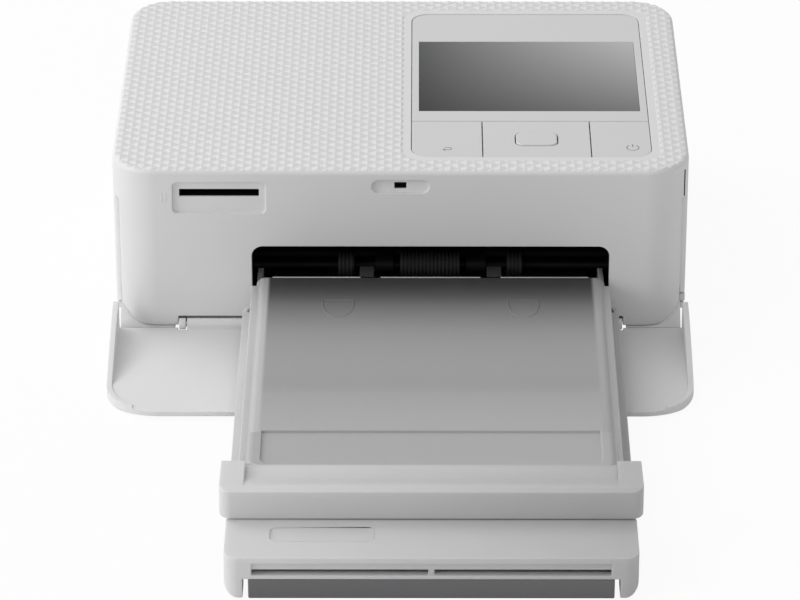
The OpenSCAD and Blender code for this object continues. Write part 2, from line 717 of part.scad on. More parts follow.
gimbal_pin_r = 0.3;
gimbal_z = key_z - 0.75;
module nav_gimbal() color(colour_dark) difference() {
  union() {
    block([nav_x - 11, key_y - 8, gimbal_z], [nav_x + 11, key_y + 8, gimbal_z + 0.35]);
    for (s = [-1, 1]) rod([key_y, gimbal_z + 0.1], gimbal_pin_r, nav_x + s * 11.6 - 0.8,
                          nav_x + s * 11.6 + 0.8);
  }
  block([nav_x - ok_w / 2 - 1, key_y - ok_d / 2 - 1, 0],
        [nav_x + ok_w / 2 + 1, key_y + ok_d / 2 + 1, body_h]);
}

module nav_key() color(colour_white) difference() {
  union() {
    key_plate(nav_x - nav_w / 2, nav_x + nav_w / 2, key_t);
    // ribs that rock on the gimbal
    for (s = [-1, 1]) translate([nav_x, key_y + s * 7, key_z + eps]) rotate([90, 0, 0])
      translate([0, 0, -0.7]) cylinder(r = 0.38, h = 1.4);
    for (s = nav_stems) stem(s, rock_low);
  }
  translate([nav_x, key_y, key_z - 1]) linear_extrude(5)
    rounded(ok_w + 2 * key_gap, ok_d + 2 * key_gap, 2.8);
}

module ok_key() color(colour_white) {
  translate([nav_x, key_y, key_z]) slab(ok_w, ok_d, key_t + 0.3, 2.5, 0.4);
  stem(ok_stem, stem_low);
}

module power_key() color(colour_white) {
  key_plate(power_x - power_w / 2, power_x + power_w / 2, key_t);
  stem(power_stem, stem_low);
}

module panel_board() color([0.1, 0.35, 0.2]) {
  block([panel_left + 2, key_front_y + 1.5, board_z],
        [panel_right - 2, key_back_y + 2, board_z + 1.2]);
  for (s = stems) translate([s[0], s[1], board_z + 1.2 - eps]) {
    translate([-2.2, -2.2, 0]) cube([4.4, 4.4, 0.7]);
    cylinder(r = 1, h = 1.05);
  }
  // standoffs up to the web
  for (x = [panel_left + 5, panel_right - 5]) translate([x, key_back_y, board_z + 1.1])
    cylinder(r = 1.5, h = tray_top - 0.8 - board_z - 1.1);
}

// ---------- boards and sockets ----------

module main_board() color([0.1, 0.35, 0.2]) {
  x0 = film_l - 4;
  y0 = bay_front + 9;
  block([x0, y0, floor_z + 1.6], [film_r + 8, chassis_back - 5, floor_z + 3.2]);
  for (x = [x0 + 4, film_r + 4], y = [y0 + 4, chassis_back - 9])
    translate([x, y, floor_z]) cylinder(r = 2, h = 1.7);
  for (c = [[4, 10, 16], [34, 6, 12], [-24, 14, 9]])
    block([c[0], y0 + c[1], floor_z + 3.1], [c[0] + c[2], y0 + c[1] + c[2], floor_z + 4.4]);
}

module card_reader() color([0.6, 0.61, 0.63]) difference() {
  block([card_x - 15, front_y + wall + 0.1, card_z - 3],
        [card_x + 15, front_y + wall + 30, card_z + 3]);
  block([card_x - 12.2, front_y, card_z - 1.15],
        [card_x + 12.2, front_y + wall + 27, card_z + 1.15]);
}

module dc_inlet() color(colour_dark) difference() {
  union() {
    block([jack_x - 5.5, back_y - wall - 11, floor_z + plate_t + fit],
          [jack_x + 5.5, back_y - wall - 2 * fit, jack_z + 5.5]);
    translate([jack_x, back_y - 0.4, jack_z]) rotate([90, 0, 0])
      cylinder(r = jack_r + 1, h = wall + 0.4);
  }
  difference() {
    translate([jack_x, back_y + 1, jack_z]) rotate([90, 0, 0]) cylinder(r = jack_r, h = 10.5);
    translate([jack_x, back_y - 2, jack_z]) rotate([90, 0, 0]) cylinder(r = 0.8, h = 10);
  }
}

module usb_port() color(colour_steel) difference() {
  translate([usb_x, 0, 0]) along(back_y - wall - 6, back_y - 0.6) translate([0, usb_z])
    rounded(8.9, 3.2, 1.55);
  translate([usb_x, 0, 0]) along(back_y - wall - 5, back_y) translate([0, usb_z])
    rounded(8.3, 2.6, 1.25);
}

// ---------- chassis ----------

chassis_front = side_front_y - 4;
chassis_back = grip_c[0] + 12;
module side_plate(x0) difference() {
  block([x0, chassis_front, floor_z], [x0 + plate_t, chassis_back, body_h - 6]);
  rod(pick_c, pick_shaft_r + run, x0 - 1, x0 + plate_t + 1);
  rod(platen_c, shaft_r + run, x0 - 1, x0 + plate_t + 1);
  rod(grip_c, shaft_r + run, x0 - 1, x0 + plate_t + 1);
  rod(pinch_c, 1.2 + run, x0 - 1, x0 + plate_t + 1);
  rod(head_c, 1.5 + run, x0 - 1, x0 + plate_t + 1);
}
module chassis() color(colour_steel) difference() {
  union() {
    side_plate(plate_l);
    side_plate(plate_r);
    block([plate_l + plate_t - eps, chassis_back - 4, floor_z],
          [plate_r + eps, chassis_back, floor_z + plate_t]);
  }
  // left plate: take-up shaft, motor shaft and idler pins
  rod(take_c, shaft_r + run, plate_l - 1, plate_l + plate_t + 1);
  rod(motor_c, 3.1, plate_l - 1, plate_l + plate_t + 1);
  for (c = idlers) rod(c, pin_stub_r + press, plate_l - 1, plate_l + plate_t + 1);
  // right plate: way in for the ribbon cartridge
  block([plate_r - 1, bay_front + 1, bay_low + 1.5],
        [plate_r + plate_t + 1, bay_back - 1, head_c[1] - 2.6]);
}

idlers = [feed_c, transfer_c, front_c, middle_c];
pin_stub_r = 1;
idler_bore = 1.5;
module idler_pins() color(colour_steel) for (c = idlers) {
  rod(c, idler_bore - run, gear_x - 0.2, plate_l - eps);
  rod(c, pin_stub_r, plate_l - 1, plate_l + plate_t);
}

// Tunnel behind the opening, with the arms that carry the pick-up shaft
tunnel_l = path_x - slot_w / 2 - 0.2;
tunnel_r = path_x + slot_w / 2 + 0.2;
tunnel_t = 1.4;
tunnel_back = bay_front - 2;
arms = [[-17.7, -11.9], [11.4, 17.5]];
module feed_frame() color(colour_dark) difference() {
  union() {
    // floor, sides and roof
    block([tunnel_l - tunnel_t, front_y + wall + 2, floor_z],
          [tunnel_r + tunnel_t, tunnel_back, tray_z - 0.4]);
    for (x = [tunnel_l - tunnel_t, tunnel_r])
      block([x, front_y + wall + 0.2, floor_z], [x + tunnel_t, tunnel_back, slot_top + 0.3]);
    across(tunnel_l - tunnel_t, tunnel_r + tunnel_t) polygon([
      [front_y + wall + 0.2, slot_top + 0.2], [tunnel_back, slot_top - 2.4],
      [tunnel_back, slot_top - 1], [front_y + wall + 0.2, slot_top + 1.8]]);
    // curved guide that turns the sheet up from the cassette
    across(tunnel_l, tunnel_r) difference() {
      translate([nose_y + 1.5, tray_z - 1]) square([tunnel_back - nose_y - 1.5, 14.6]);
      translate([nose_y + 1.5, tray_z + 13.6]) circle(12.4, $fn = 64);
    }
    // plate between the way in and the way out of the paper, with the arms on its front
    block([tunnel_l - eps, pick_c[0] + pick_r + 0.6, pick_c[1] + 0.6],
          [tunnel_r + eps, pick_c[0] + pick_r + 9, pick_c[1] + 2.2]);
    for (a = arms) across(path_x + a[0], path_x + a[1]) {
      translate([pick_c[0], pick_c[1] - 2.2]) square([pick_r + 3, 4.4]);
      translate(pick_c) circle(2.2);
    }
  }
  rod(pick_c, pick_shaft_r + run, tunnel_l - 5, tunnel_r + 5);
}

module cartridge_rails() color(colour_dark) {
  y0 = supply_c[0] - supply_shell - shell_t - 0.3;
  y1 = take_c[0] + take_shell + shell_t + 0.3;
  for (x = [[plate_l + plate_t, plate_r]]) {
    block([x[0], y0 - 2, supply_c[1] - 6], [x[1], y0, supply_c[1] + 4]);
    block([x[0], y1, take_c[1] - 6], [x[1], y1 + 2, take_c[1] + 4]);
  }
}

// Ribbon cartridge: two troughs with end frames, open below between the rolls
module trough(c, r, side) translate(c) difference() {
  circle(r + shell_t);
  circle(r);
  translate([side > 0 ? 3 : -r - 3, -r - 3]) square([r, r + 2.5]);
}
module ribbon_cartridge() color([0.55, 0.56, 0.58]) difference() {
  union() {
    across(cart_l, cart_r) trough(supply_c, supply_shell, 1);
    across(cart_l, cart_r) trough(take_c, take_shell, -1);
    for (x = [cart_l, cart_r - 2]) across(x, x + 2) {
      translate(supply_c) circle(supply_shell + shell_t);
      translate(take_c) circle(take_shell + shell_t);
      translate([supply_c[0], supply_c[1] - 2]) square([take_c[0] - supply_c[0], 8]);
    }
    // grip at the end that faces the ink door
    across(cart_r - eps, cart_r + 4) translate([supply_c[0] + 9, supply_c[1]])
      square([take_c[0] - supply_c[0] - 16, 3]);
  }
  rod(supply_c, 3 + run, cart_l - 1, cart_r + 1);
  rod(take_c, 3 + run, cart_l - 1, cart_r + 1);
}

// The film from the supply roll, under the head and up to the take-up roll
film_z = platen_c[1] + platen_r + 0.12;
film_t = 0.12;
module ribbon() color([0.25, 0.2, 0.45]) across(film_l, film_r) polygon([
  [supply_c[0] + supply_r + 0.02, supply_c[1]], [supply_c[0] + supply_r + 0.14, supply_c[1]],
  [platen_c[0] - 5.4, film_z + film_t], [platen_c[0] + 6.4, film_z + film_t],
  [take_c[0] - take_r - 0.14, take_c[1]], [take_c[0] - take_r - 0.02, take_c[1]],
  [platen_c[0] + 6.5, film_z], [platen_c[0] - 5.5, film_z]]);

module rear_guide() color(colour_dark) {
  for (x = [film_l + 4, film_r - 6]) block([x, back_y - wall - 8, floor_z],
    [x + 2, back_y - wall - 2, rear_slot_z[0] - 1.3]);
  block([film_l - 1, grip_c[0] + grip_r + 1.5, rear_slot_z[0] - 1.4],
        [film_r + 1, back_y - wall - 0.2, rear_slot_z[0] - 0.2]);
  for (i = [0:4]) block([film_l + 10 + i * 20, grip_c[0] + grip_r + 1.5, rear_slot_z[0] - 0.3],
    [film_l + 11 + i * 20, back_y - wall - 0.2, rear_slot_z[0] + 0.3]);
}

motor_r = 10;
module drive_motor() color([0.5, 0.51, 0.53]) union() {
  motor_end = cart_l - 5.5;
  rod(motor_c, motor_r, plate_l + plate_t, motor_end);
  rod(motor_c, 3, plate_l + 0.2, plate_l + plate_t + 1);
  rod(motor_c, 3.5, motor_end - 1, motor_end + 2);
}
module motor_pinion() color([0.75, 0.65, 0.35]) union() {
  translate([gear_x, motor_c[0], motor_c[1]]) rotate([90, 0, 90]) rotate([0, 0, pinion_turn])
    linear_extrude(gear_w) gear_outline(teeth_pinion);
  rod(motor_c, 1, gear_x - 0.2, plate_l + 0.15);
}

// Fan: a frame with four corners and a ring, and a rotor with blades
fan_y0 = back_y - wall - 8.2;
module fan_frame() color(colour_dark) difference() {
  union() {
    translate([fan_x, 0, 0]) along(fan_y0, back_y - wall - 0.2) translate([0, fan_z])
      rounded(fan_size, fan_size, 2);
  }
  translate([fan_x, fan_y0 + 7, fan_z]) rotate([90, 0, 0]) cylinder(r = 11.3, h = 10);
  for (sx = [-1, 1], sz = [-1, 1])
    translate([fan_x + sx * 10.6, back_y, fan_z + sz * 10.6]) rotate([90, 0, 0])
      cylinder(r = 0.9, h = 20);
  difference() {
    translate([fan_x, back_y, fan_z]) rotate([90, 0, 0]) cylinder(r = 11.3, h = 4);
    translate([fan_x, back_y, fan_z]) rotate([90, 0, 0]) cylinder(r = 4.5, h = 4);
    for (a = [0, 120, 240]) translate([fan_x, back_y - 4, fan_z]) rotate([0, a, 0])
      translate([-0.8, 0, 0]) cube([1.6, 4, 12]);
  }
  translate([fan_x, back_y, fan_z]) rotate([90, 0, 0]) cylinder(r = 0.8 + run, h = 9);
}
module fan_rotor() color([0.15, 0.15, 0.16]) union() {
  translate([fan_x, fan_y0 + 6.6, fan_z]) rotate([90, 0, 0]) cylinder(r = 4.6, h = 6);
  translate([fan_x, fan_y0 + 7.9, fan_z]) rotate([90, 0, 0]) cylinder(r = 0.8, h = 2);
  for (a = [0:360 / 7:359]) translate([fan_x, fan_y0 + 3.6, fan_z]) rotate([0, a, 0])
    rotate([0, 0, 32]) translate([-0.4, -2.6, 4]) cube([0.8, 5.2, 6.6]);
}

// ---------- hinges of the front cover ----------

pin_r = 0.9;
module cover_hinge_pins() color(colour_steel) for (s = [-1, 1])
  rod([hinge_y, hinge_z], pin_r - press - eps, s * (barrel_len / 2 - 1) - 3.5,
      s * (barrel_len / 2 - 1) + 3.5);

// Front cover, lying open on the table. Its side rims wrap the body's corners when it is shut
rim_steps = 12;
function rim_top(t) = rim_low + (rim_h - rim_low) * (1 - pow(t, 1.6));
module front_cover() color(colour_white) difference() {
  union() {
    linear_extrude(cover_t) cover_outline();
    for (s = [-1, 1]) across(s * (cover_half - rim_w / 2) - rim_w / 2,
                             s * (cover_half - rim_w / 2) + rim_w / 2)
      polygon(concat([[hinge_y, 0.3], [hinge_y, rim_h]],
        [for (i = [1:rim_steps]) [hinge_y - i / rim_steps * (cover_len - cover_r),
                                  rim_top(i / rim_steps)]],
        [[hinge_y - cover_len + cover_r, 0.3]]));
    // the rim goes on round the corners, lower
    linear_extrude(rim_low) intersection() {
      difference() {
        cover_outline();
        offset_cover(rim_w);
      }
      for (s = [-1, 1]) translate([s * cover_half - (s > 0 ? 9 : 0), hinge_y - cover_len])
        square([9, cover_r + 1]);
    }
    rod([hinge_y, hinge_z], barrel_r, -barrel_len / 2, barrel_len / 2);
    block([-barrel_len / 2, hinge_y - barrel_r, 0.8], [barrel_len / 2, hinge_y, hinge_z]);
  }
  for (s = [-1, 1]) rod([hinge_y, hinge_z], pin_r + run - press,
    s * (barrel_len / 2 - 2.3) - 2.6, s * (barrel_len / 2 - 2.3) + 2.6);
  // room for the ears of the lower case
  for (s = [-1, 1]) rod([hinge_y, hinge_z], barrel_r + 0.35,
    s * (barrel_len / 2 + 1.45) - 1.45, s * (barrel_len / 2 + 1.45) + 1.45);
}
cover_half = body_w / 2 + cover_over;
module cover_outline() {
  translate([-cover_half, hinge_y - cover_len + cover_r])
    square([2 * cover_half, cover_len - cover_r]);
  translate([-cover_half + cover_r, hinge_y - cover_len])
    square([2 * (cover_half - cover_r), cover_len]);
  for (s = [-1, 1]) translate([s * (cover_half - cover_r), hinge_y - cover_len + cover_r])
    circle(cover_r);
}
module offset_cover(g) {
  translate([-cover_half + g, hinge_y - cover_len + cover_r])
    square([2 * (cover_half - g), cover_len - cover_r + 1]);
  translate([-cover_half + cover_r, hinge_y - cover_len + g])
    square([2 * (cover_half - cover_r), cover_len]);
  for (s = [-1, 1]) translate([s * (cover_half - cover_r), hinge_y - cover_len + cover_r])
    circle(cover_r - g);
}

// ---------- cassette ----------

// Outline of the base in plan: a wide tray with a narrow nose
module tray_outline(g = 0) {
  translate([path_x - nose_w / 2 + g, shoulder_y - 3])
    square([nose_w - 2 * g, nose_y - shoulder_y + 3 - g]);
  translate([path_x, (tray_front_y + shoulder_y) / 2])
    rounded(tray_w - 2 * g, shoulder_y - tray_front_y - 2 * g, 4 - g);
}
leg_w = 5.4;
leg_d = 8;
leg_z = 0.8;                         // underside of the legs
leg_r = 4;
nose_side_z = plate_z - 3.4;
shaft_low = pick_c[1] - pick_shaft_r - 0.6;
module cassette_base() color(colour_clear) difference() {
  union() {
    translate([0, 0, tray_z]) linear_extrude(floor_t) tray_outline();
    // side and front walls
    translate([0, 0, tray_z]) linear_extrude(tray_h) difference() {
      tray_outline();
      tray_outline(tray_wall);
      translate([path_x - nose_w, shoulder_y]) square([2 * nose_w, 60]);
    }
    // walls beside the paper, up to the cover, and lower where they pass under the shaft
    for (s = [-1, 1]) translate([path_x + s * (nose_w - tray_wall) / 2, 0, 0])
      across(-tray_wall / 2, tray_wall / 2) polygon([
        [ramp_y, tray_z], [nose_y, tray_z], [nose_y, shaft_low - 2], [nose_y - 2, shaft_low],
        [pick_c[0] - 2.5, shaft_low], [pick_c[0] - 4, nose_side_z], [ramp_y, nose_side_z]]);
    // deck in front of the lip
    translate([0, 0, tray_z]) linear_extrude(deck_z - tray_z) intersection() {
      tray_outline();
      translate([path_x - tray_w, tray_front_y - 1]) square([2 * tray_w, deck_d + 1.8]);
    }
    // low wall at the end of the nose
    block([path_x - nose_w / 2, nose_y - tray_wall, tray_z],
          [path_x + nose_w / 2, nose_y, tray_z + floor_t + 0.9]);
    // corner legs, round at their outer lower edge
    intersection() {
      translate([0, 0, leg_z]) linear_extrude(tray_z - leg_z + eps) difference() {
        tray_outline();
        translate([path_x - tray_w / 2 + leg_w, tray_front_y - 1])
          square([tray_w - 2 * leg_w, 12]);
        translate([path_x - tray_w, tray_front_y + leg_d]) square([2 * tray_w, body_d * 2]);
      }
      along(tray_front_y - 1, tray_front_y + leg_d + 1) translate([path_x, tray_z + 4])
        mirror([0, 1]) topped(tray_w, tray_z + 4 - leg_z, leg_r);
    }
  }
  // the deck is hollow below
  translate([0, 0, tray_z + floor_t]) linear_extrude(deck_z - tray_z - floor_t - 1.2)
    intersection() {
      tray_outline(tray_wall);
      translate([path_x - tray_w, tray_front_y - 1]) square([2 * tray_w, deck_d + 3]);
    }
  // long grip recess in the front wall, open below in two halves
  block([path_x - 51.5, tray_front_y - 1, tray_z + 1.3],
        [path_x + 51.5, tray_front_y + 0.8, tray_z + 5.2]);
  for (s = [-1, 1]) block([path_x + s * 26.2 - 25.3, tray_front_y - 1, tray_z + 1.3],
    [path_x + s * 26.2 + 25.3, tray_front_y + tray_wall + 0.5, tray_z + 2.8]);
  // shallow label panel in the deck
  translate([path_x - 31.5, tray_front_y + deck_d - 8, deck_z - 0.3]) linear_extrude(1)
    rounded(30, 7.6, 2);
  // window over which the printer's lever presses the lift plate
  translate([path_x, nose_y - 16, tray_z - 1]) linear_extrude(floor_t + 2)
    rounded(14, 8, 2);
}

module cassette_bar() color([0.42, 0.42, 0.42]) difference() {
  block([path_x - bar_w / 2, tray_front_y, tray_z - bar_h + 0.2],
        [path_x + bar_w / 2, tray_front_y + 7, tray_z - eps]);
  block([path_x - bar_w / 2 + 1.5, tray_front_y + 1.6, tray_z - bar_h],
        [path_x + bar_w / 2 - 1.5, tray_front_y + 5.6, tray_z - 1.6]);
}

// Cover of the cassette: a plate with round shoulders, a recess in front of the step,
// a ramp, and the lip with an ear back along each side
recess_half = plate_w / 2 - 1.4;
ear_top = lip_z - 2;                 // height of the ears at their rear ends
module lip_outline() difference() {
  translate([path_x, lip_y + ear_len / 2]) rounded(lip_w, ear_len, 3.5);
  translate([path_x - lip_w, lip_y + ear_len - 4]) square([2 * lip_w, 10]);
}
module cassette_cover() color(colour_clear) union() {
  low = plate_z - 0.8;
  difference() {
    // plate with its shoulders
    along(ramp_y, lid_rear_y) difference() {
      translate([path_x, nose_side_z + lid_gap])
        topped(nose_w, plate_z - nose_side_z - lid_gap, plate_z - nose_side_z - lid_gap - 0.3);
      translate([path_x, nose_side_z - 1])
        topped(plate_w, plate_z - nose_side_z + 1 - lid_t, 1.4);
    }
    // recess with round front corners
    translate([path_x, (ramp_y + step_y) / 2 + 5, low]) linear_extrude(5) intersection() {
      rounded(2 * recess_half, step_y - ramp_y + 10, 4);
      translate([0, -10]) square([2 * recess_half, step_y - ramp_y + 10], center = true);
    }
  }
  // floor of the recess
  block([path_x - recess_half - 0.6, ramp_y, low - lid_t],
        [path_x + recess_half + 0.6, step_y + 1, low]);
  // ramp up to the lip
  across(path_x - nose_w / 2, path_x + nose_w / 2) polygon([
    [ramp_y + eps, plate_z], [ramp_y - 8, plate_z + 0.5], [lip_y + 6, lip_z - 0.8],
    [lip_y + 2, lip_z], [lip_y, lip_z - 0.6], [lip_y, deck_z + lid_gap],
    [lip_y + lid_t, deck_z + lid_gap], [lip_y + lid_t, lip_z - 2],
    [lip_y + 6, lip_z - 0.8 - lid_t], [ramp_y - 8, plate_z + 0.5 - lid_t],
    [ramp_y - lid_t, plate_z - lid_t], [ramp_y - lid_t, nose_side_z + lid_gap],
    [ramp_y + eps, nose_side_z + lid_gap]]);
  // lip across the whole width, whose ends go on as ears that slope to the rear
  intersection() {
    translate([0, 0, deck_z + lid_gap]) linear_extrude(lip_z - deck_z) difference() {
      lip_outline();
      translate([path_x, lip_y + lid_t + ear_len / 2]) rounded(lip_w - 2 * lid_t, ear_len, 2.3);
    }
    across(path_x - lip_w, path_x + lip_w) polygon([
      [lip_y - 1, deck_z], [lip_y + ear_len, deck_z], [lip_y + ear_len, ear_top],
      [lip_y + 2, lip_z], [lip_y - 1, lip_z - 0.9]]);
  }
  intersection() {
    translate([0, 0, deck_z]) linear_extrude(lip_z) difference() {
      lip_outline();
      translate([path_x - nose_w / 2 + 0.8, lip_y + lid_t]) square([nose_w - 1.6, ear_len]);
    }
    across(path_x - lip_w, path_x + lip_w) polygon([
      [lip_y, lip_z - 0.6], [lip_y + 2, lip_z], [lip_y + ear_len, ear_top],
      [lip_y + ear_len, ear_top - lid_t], [lip_y + 2, lip_z - lid_t],
      [lip_y, lip_z - 0.6 - lid_t]]);
  }
  // skirts that run on the side walls
  for (s = [-1, 1]) block(
    [path_x + s * (nose_w / 2 + lid_t / 2 + 0.25) - lid_t / 2, lip_y + deck_d + 1.2, wall_top + lid_gap],
    [path_x + s * (nose_w / 2 + lid_t / 2 + 0.25) + lid_t / 2, lid_rear_y - 4, low]);
  for (s = [-1, 1]) block(
    [path_x + s * (nose_w / 2 - 0.5) - 1.2, lip_y + 15, low - lid_t],
    [path_x + s * (nose_w / 2 - 0.5) + 1.2, lid_rear_y - 4, low]);
  // paper guides at the rear edge
  for (s = [-1, 1]) block([path_x + s * 20.2 - 2.3, lid_rear_y - 4, plate_z - lid_t],
    [path_x + s * 20.2 + 2.3, lid_rear_y + 8, plate_z - 0.1]);
}

// Plate under the nose end of the paper, and the stack that lies on it
lift_pivot_y = bay_y - paper_len + 2;
module lift_plate() color([0.6, 0.61, 0.62]) union() {
  block([path_x - paper_w / 2 + 2, lift_pivot_y, stack_z - 0.9],
        [path_x + paper_w / 2 - 2, bay_y - 1, stack_z - 0.1]);
  rod([lift_pivot_y, stack_z - 0.6], 0.5, path_x - paper_w / 2 - 2, path_x + paper_w / 2 + 2);
}
module paper_stack() color([0.97, 0.97, 0.96]) block(
  [path_x - paper_w / 2, bay_y - paper_len, stack_z],
  [path_x + paper_w / 2, bay_y, stack_z + stack_t]);

// ---------- paper drive ----------

module pickup_shaft() color(colour_steel) union() {
  rod(pick_c, pick_shaft_r, shaft_l, shaft_end);
}
pick_rollers = [[-29.5, -24.4], [-9.7, 9.1], [24.4, 29.2]];
module pickup_rollers() color([0.16, 0.16, 0.17]) for (x = pick_rollers) difference() {
  union() {
    rod(pick_c, pick_r - 0.5, path_x + x[0], path_x + x[1]);
    // ribs round the rubber
    for (k = [0:round((x[1] - x[0]) / 1.2) - 1])
      rod(pick_c, pick_r, path_x + x[0] + 0.2 + k * 1.2, path_x + x[0] + 0.9 + k * 1.2);
  }
  rod(pick_c, pick_shaft_r + press, path_x - 30, path_x + 40);
}
module pickup_gear() color(colour_white) gear(pick_c, teeth_pick, pick_turn, pick_shaft_r + press);

module platen_shaft() color(colour_steel) rod(platen_c, shaft_r, shaft_l, shaft_end);
module platen_roller() color([0.2, 0.2, 0.21]) difference() {
  rod(platen_c, platen_r, film_l - 1, film_r + 1);
  rod(platen_c, shaft_r + press, film_l - 2, film_r + 2);
}
module platen_gear() color(colour_white) gear(platen_c, teeth_platen, platen_turn, shaft_r + press);

module grip_roller() color(colour_steel) union() {
  rod(grip_c, grip_r, film_l - 1, film_r + 1);
  rod(grip_c, shaft_r, shaft_l, shaft_end);
}
module grip_gear() color(colour_white) gear(grip_c, teeth_grip, grip_turn, shaft_r + press);
module pinch_roller() color([0.2, 0.2, 0.21]) union() {
  rod(pinch_c, pinch_r, film_l - 1, film_r + 1);
  rod(pinch_c, 1.2, plate_l + 0.1, shaft_end);
}
module feed_idler() color(colour_white) gear(feed_c, teeth_feed, feed_turn, idler_bore);
module transfer_idler() color(colour_white)
  gear(transfer_c, teeth_transfer, transfer_turn, idler_bore);
module front_idler() color(colour_white) gear(front_c, teeth_front, front_turn, idler_bore);
module middle_idler() color(colour_white) gear(middle_c, teeth_middle, middle_turn, idler_bore);

module spool(c, r) union() {
  rod(c, r, film_l, film_r);
  rod(c, 4, cart_l + 2.2, cart_r - 2.2);
  rod(c, 3, cart_l - 0.5, cart_r + 0.5);
}
module supply_spool() color([0.3, 0.22, 0.5]) spool(supply_c, supply_r);
module take_up_spool() color([0.22, 0.2, 0.3]) difference() {
  spool(take_c, take_r);
  rod(take_c, shaft_r + press, cart_l - 3, cart_l + 6);
}
module take_up_gear() color(colour_white) {
  gear(take_c, teeth_take, take_turn, shaft_r - press);
  rod(take_c, shaft_r, shaft_l, cart_l + 5.8);
}

// ---------- thermal head ----------

head_y = platen_c[0] - 3;
head_low = film_z + film_t + 0.56;
module thermal_head() color([0.66, 0.67, 0.7]) union() {
  // heat sink with fins on its rear side
  block([film_l, head_y + 1.6, head_low + 1.7], [film_r, head_y + 4, head_c[1] - 5]);
  for (i = [0:3]) block([film_l, head_y + 3.9, head_low + 4.2 + i * 3.4],
    [film_r, head_y + 7, head_low + 5.4 + i * 3.4]);
  // ceramic strip with the heater ridge
  block([film_l, head_y, head_low + 0.3], [film_r, head_y + 7.4, head_low + 1.71]);
  rod([head_y + 1.7, head_low + 0.8], 0.8, film_l, film_r);
}
module head_bracket() color(colour_steel) union() {
  block([film_l + 2, head_y, head_low + 3], [film_r - 2, head_y + 1.5, head_c[1] + 0.2]);
  block([film_l + 2, head_y, head_c[1] - 1.2], [film_r - 2, head_c[0], head_c[1] + 0.2]);
  rod(head_c, 1.5, plate_l + 0.2, plate_r + plate_t - 0.2);
}

// ---------- the object, with its origin under the centre of the whole ----------

module placed() translate([0, shift_y, 0]) children();

placed() lower_case();
placed() top_cover();
placed() front_panel();
placed() left_side_cover();
placed() right_side_cover();
placed() feet();
placed() case_screws();
placed() control_panel();
placed() lcd_glass();
placed() lcd_module();
placed() panel_board();
placed() main_board();
placed() card_reader();
placed() dc_inlet();
placed() usb_port();
placed() chassis();
placed() feed_frame();
placed() idler_pins();
placed() cartridge_rails();
placed() ribbon_cartridge();
placed() ribbon();
placed() rear_guide();
placed() drive_motor();
placed() fan_frame();
placed() cover_hinge_pins();
placed() door_pin();
placed() catch_plate();
placed() front_cover();
placed() ink_door();
placed() cassette_base();
placed() cassette_bar();
placed() cassette_cover();
placed() lift_plate();
placed() paper_stack();
placed() pickup_shaft();
placed() pickup_rollers();
placed() pickup_gear();
placed() platen_shaft();
placed() platen_roller();
placed() platen_gear();
placed() grip_roller();
placed() grip_gear();
placed() pinch_roller();
placed() feed_idler();
placed() transfer_idler();
placed() front_idler();
placed() middle_idler();
placed() motor_pinion();
placed() take_up_spool();
placed() take_up_gear();
placed() supply_spool();
placed() thermal_head();
placed() head_bracket();
placed() fan_rotor();
placed() menu_back_key();
placed() nav_gimbal();
placed() nav_key();
placed() ok_key();
placed() power_key();
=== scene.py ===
"""Looks of a compact photo printer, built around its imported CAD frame.

Every length is in metres. The frame's nodes stay where they are: a visible moulding is
a copy of its node with softened edges, and what the frame leaves plain is modelled here.
"""
import json
import math

import bmesh
import bpy
from bpy.props import FloatProperty, FloatVectorProperty, PointerProperty
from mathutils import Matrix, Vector

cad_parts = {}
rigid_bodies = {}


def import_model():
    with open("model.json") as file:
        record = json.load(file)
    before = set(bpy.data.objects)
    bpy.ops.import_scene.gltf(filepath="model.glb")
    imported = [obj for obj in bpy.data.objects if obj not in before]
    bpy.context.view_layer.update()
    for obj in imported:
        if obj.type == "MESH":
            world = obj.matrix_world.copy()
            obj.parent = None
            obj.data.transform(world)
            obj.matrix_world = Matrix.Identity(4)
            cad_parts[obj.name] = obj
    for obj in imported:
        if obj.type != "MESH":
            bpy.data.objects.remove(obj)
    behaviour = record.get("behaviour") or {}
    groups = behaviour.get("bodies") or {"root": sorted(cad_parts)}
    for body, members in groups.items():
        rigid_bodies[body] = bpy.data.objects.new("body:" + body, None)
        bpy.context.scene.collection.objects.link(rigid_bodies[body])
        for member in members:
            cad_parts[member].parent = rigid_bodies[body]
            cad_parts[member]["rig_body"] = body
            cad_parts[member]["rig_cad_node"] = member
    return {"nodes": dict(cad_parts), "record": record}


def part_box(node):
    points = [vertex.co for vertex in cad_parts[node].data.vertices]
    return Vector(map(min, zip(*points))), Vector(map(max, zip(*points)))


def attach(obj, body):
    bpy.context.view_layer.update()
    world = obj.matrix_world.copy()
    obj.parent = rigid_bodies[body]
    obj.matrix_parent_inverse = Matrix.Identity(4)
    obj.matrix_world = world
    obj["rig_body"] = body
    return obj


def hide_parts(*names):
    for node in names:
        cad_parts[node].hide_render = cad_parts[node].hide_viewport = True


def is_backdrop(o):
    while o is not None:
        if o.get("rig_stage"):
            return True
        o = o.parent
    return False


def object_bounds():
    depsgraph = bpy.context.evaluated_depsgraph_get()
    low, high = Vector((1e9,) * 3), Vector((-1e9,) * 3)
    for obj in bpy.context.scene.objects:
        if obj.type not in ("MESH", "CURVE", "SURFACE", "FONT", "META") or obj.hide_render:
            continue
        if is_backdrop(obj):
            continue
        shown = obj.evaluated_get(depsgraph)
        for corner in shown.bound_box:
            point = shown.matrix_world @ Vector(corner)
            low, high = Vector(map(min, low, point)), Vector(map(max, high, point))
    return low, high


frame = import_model()

bl_info = {
    "name": "Compact photo printer",
    "version": (1, 0, 0),
    "blender": (4, 5, 0),
    "location": "View3D > Sidebar > Printer",
    "description": "Finishes and fine detail of a compact photo printer",
    "category": "Object",
}

MM = 0.001
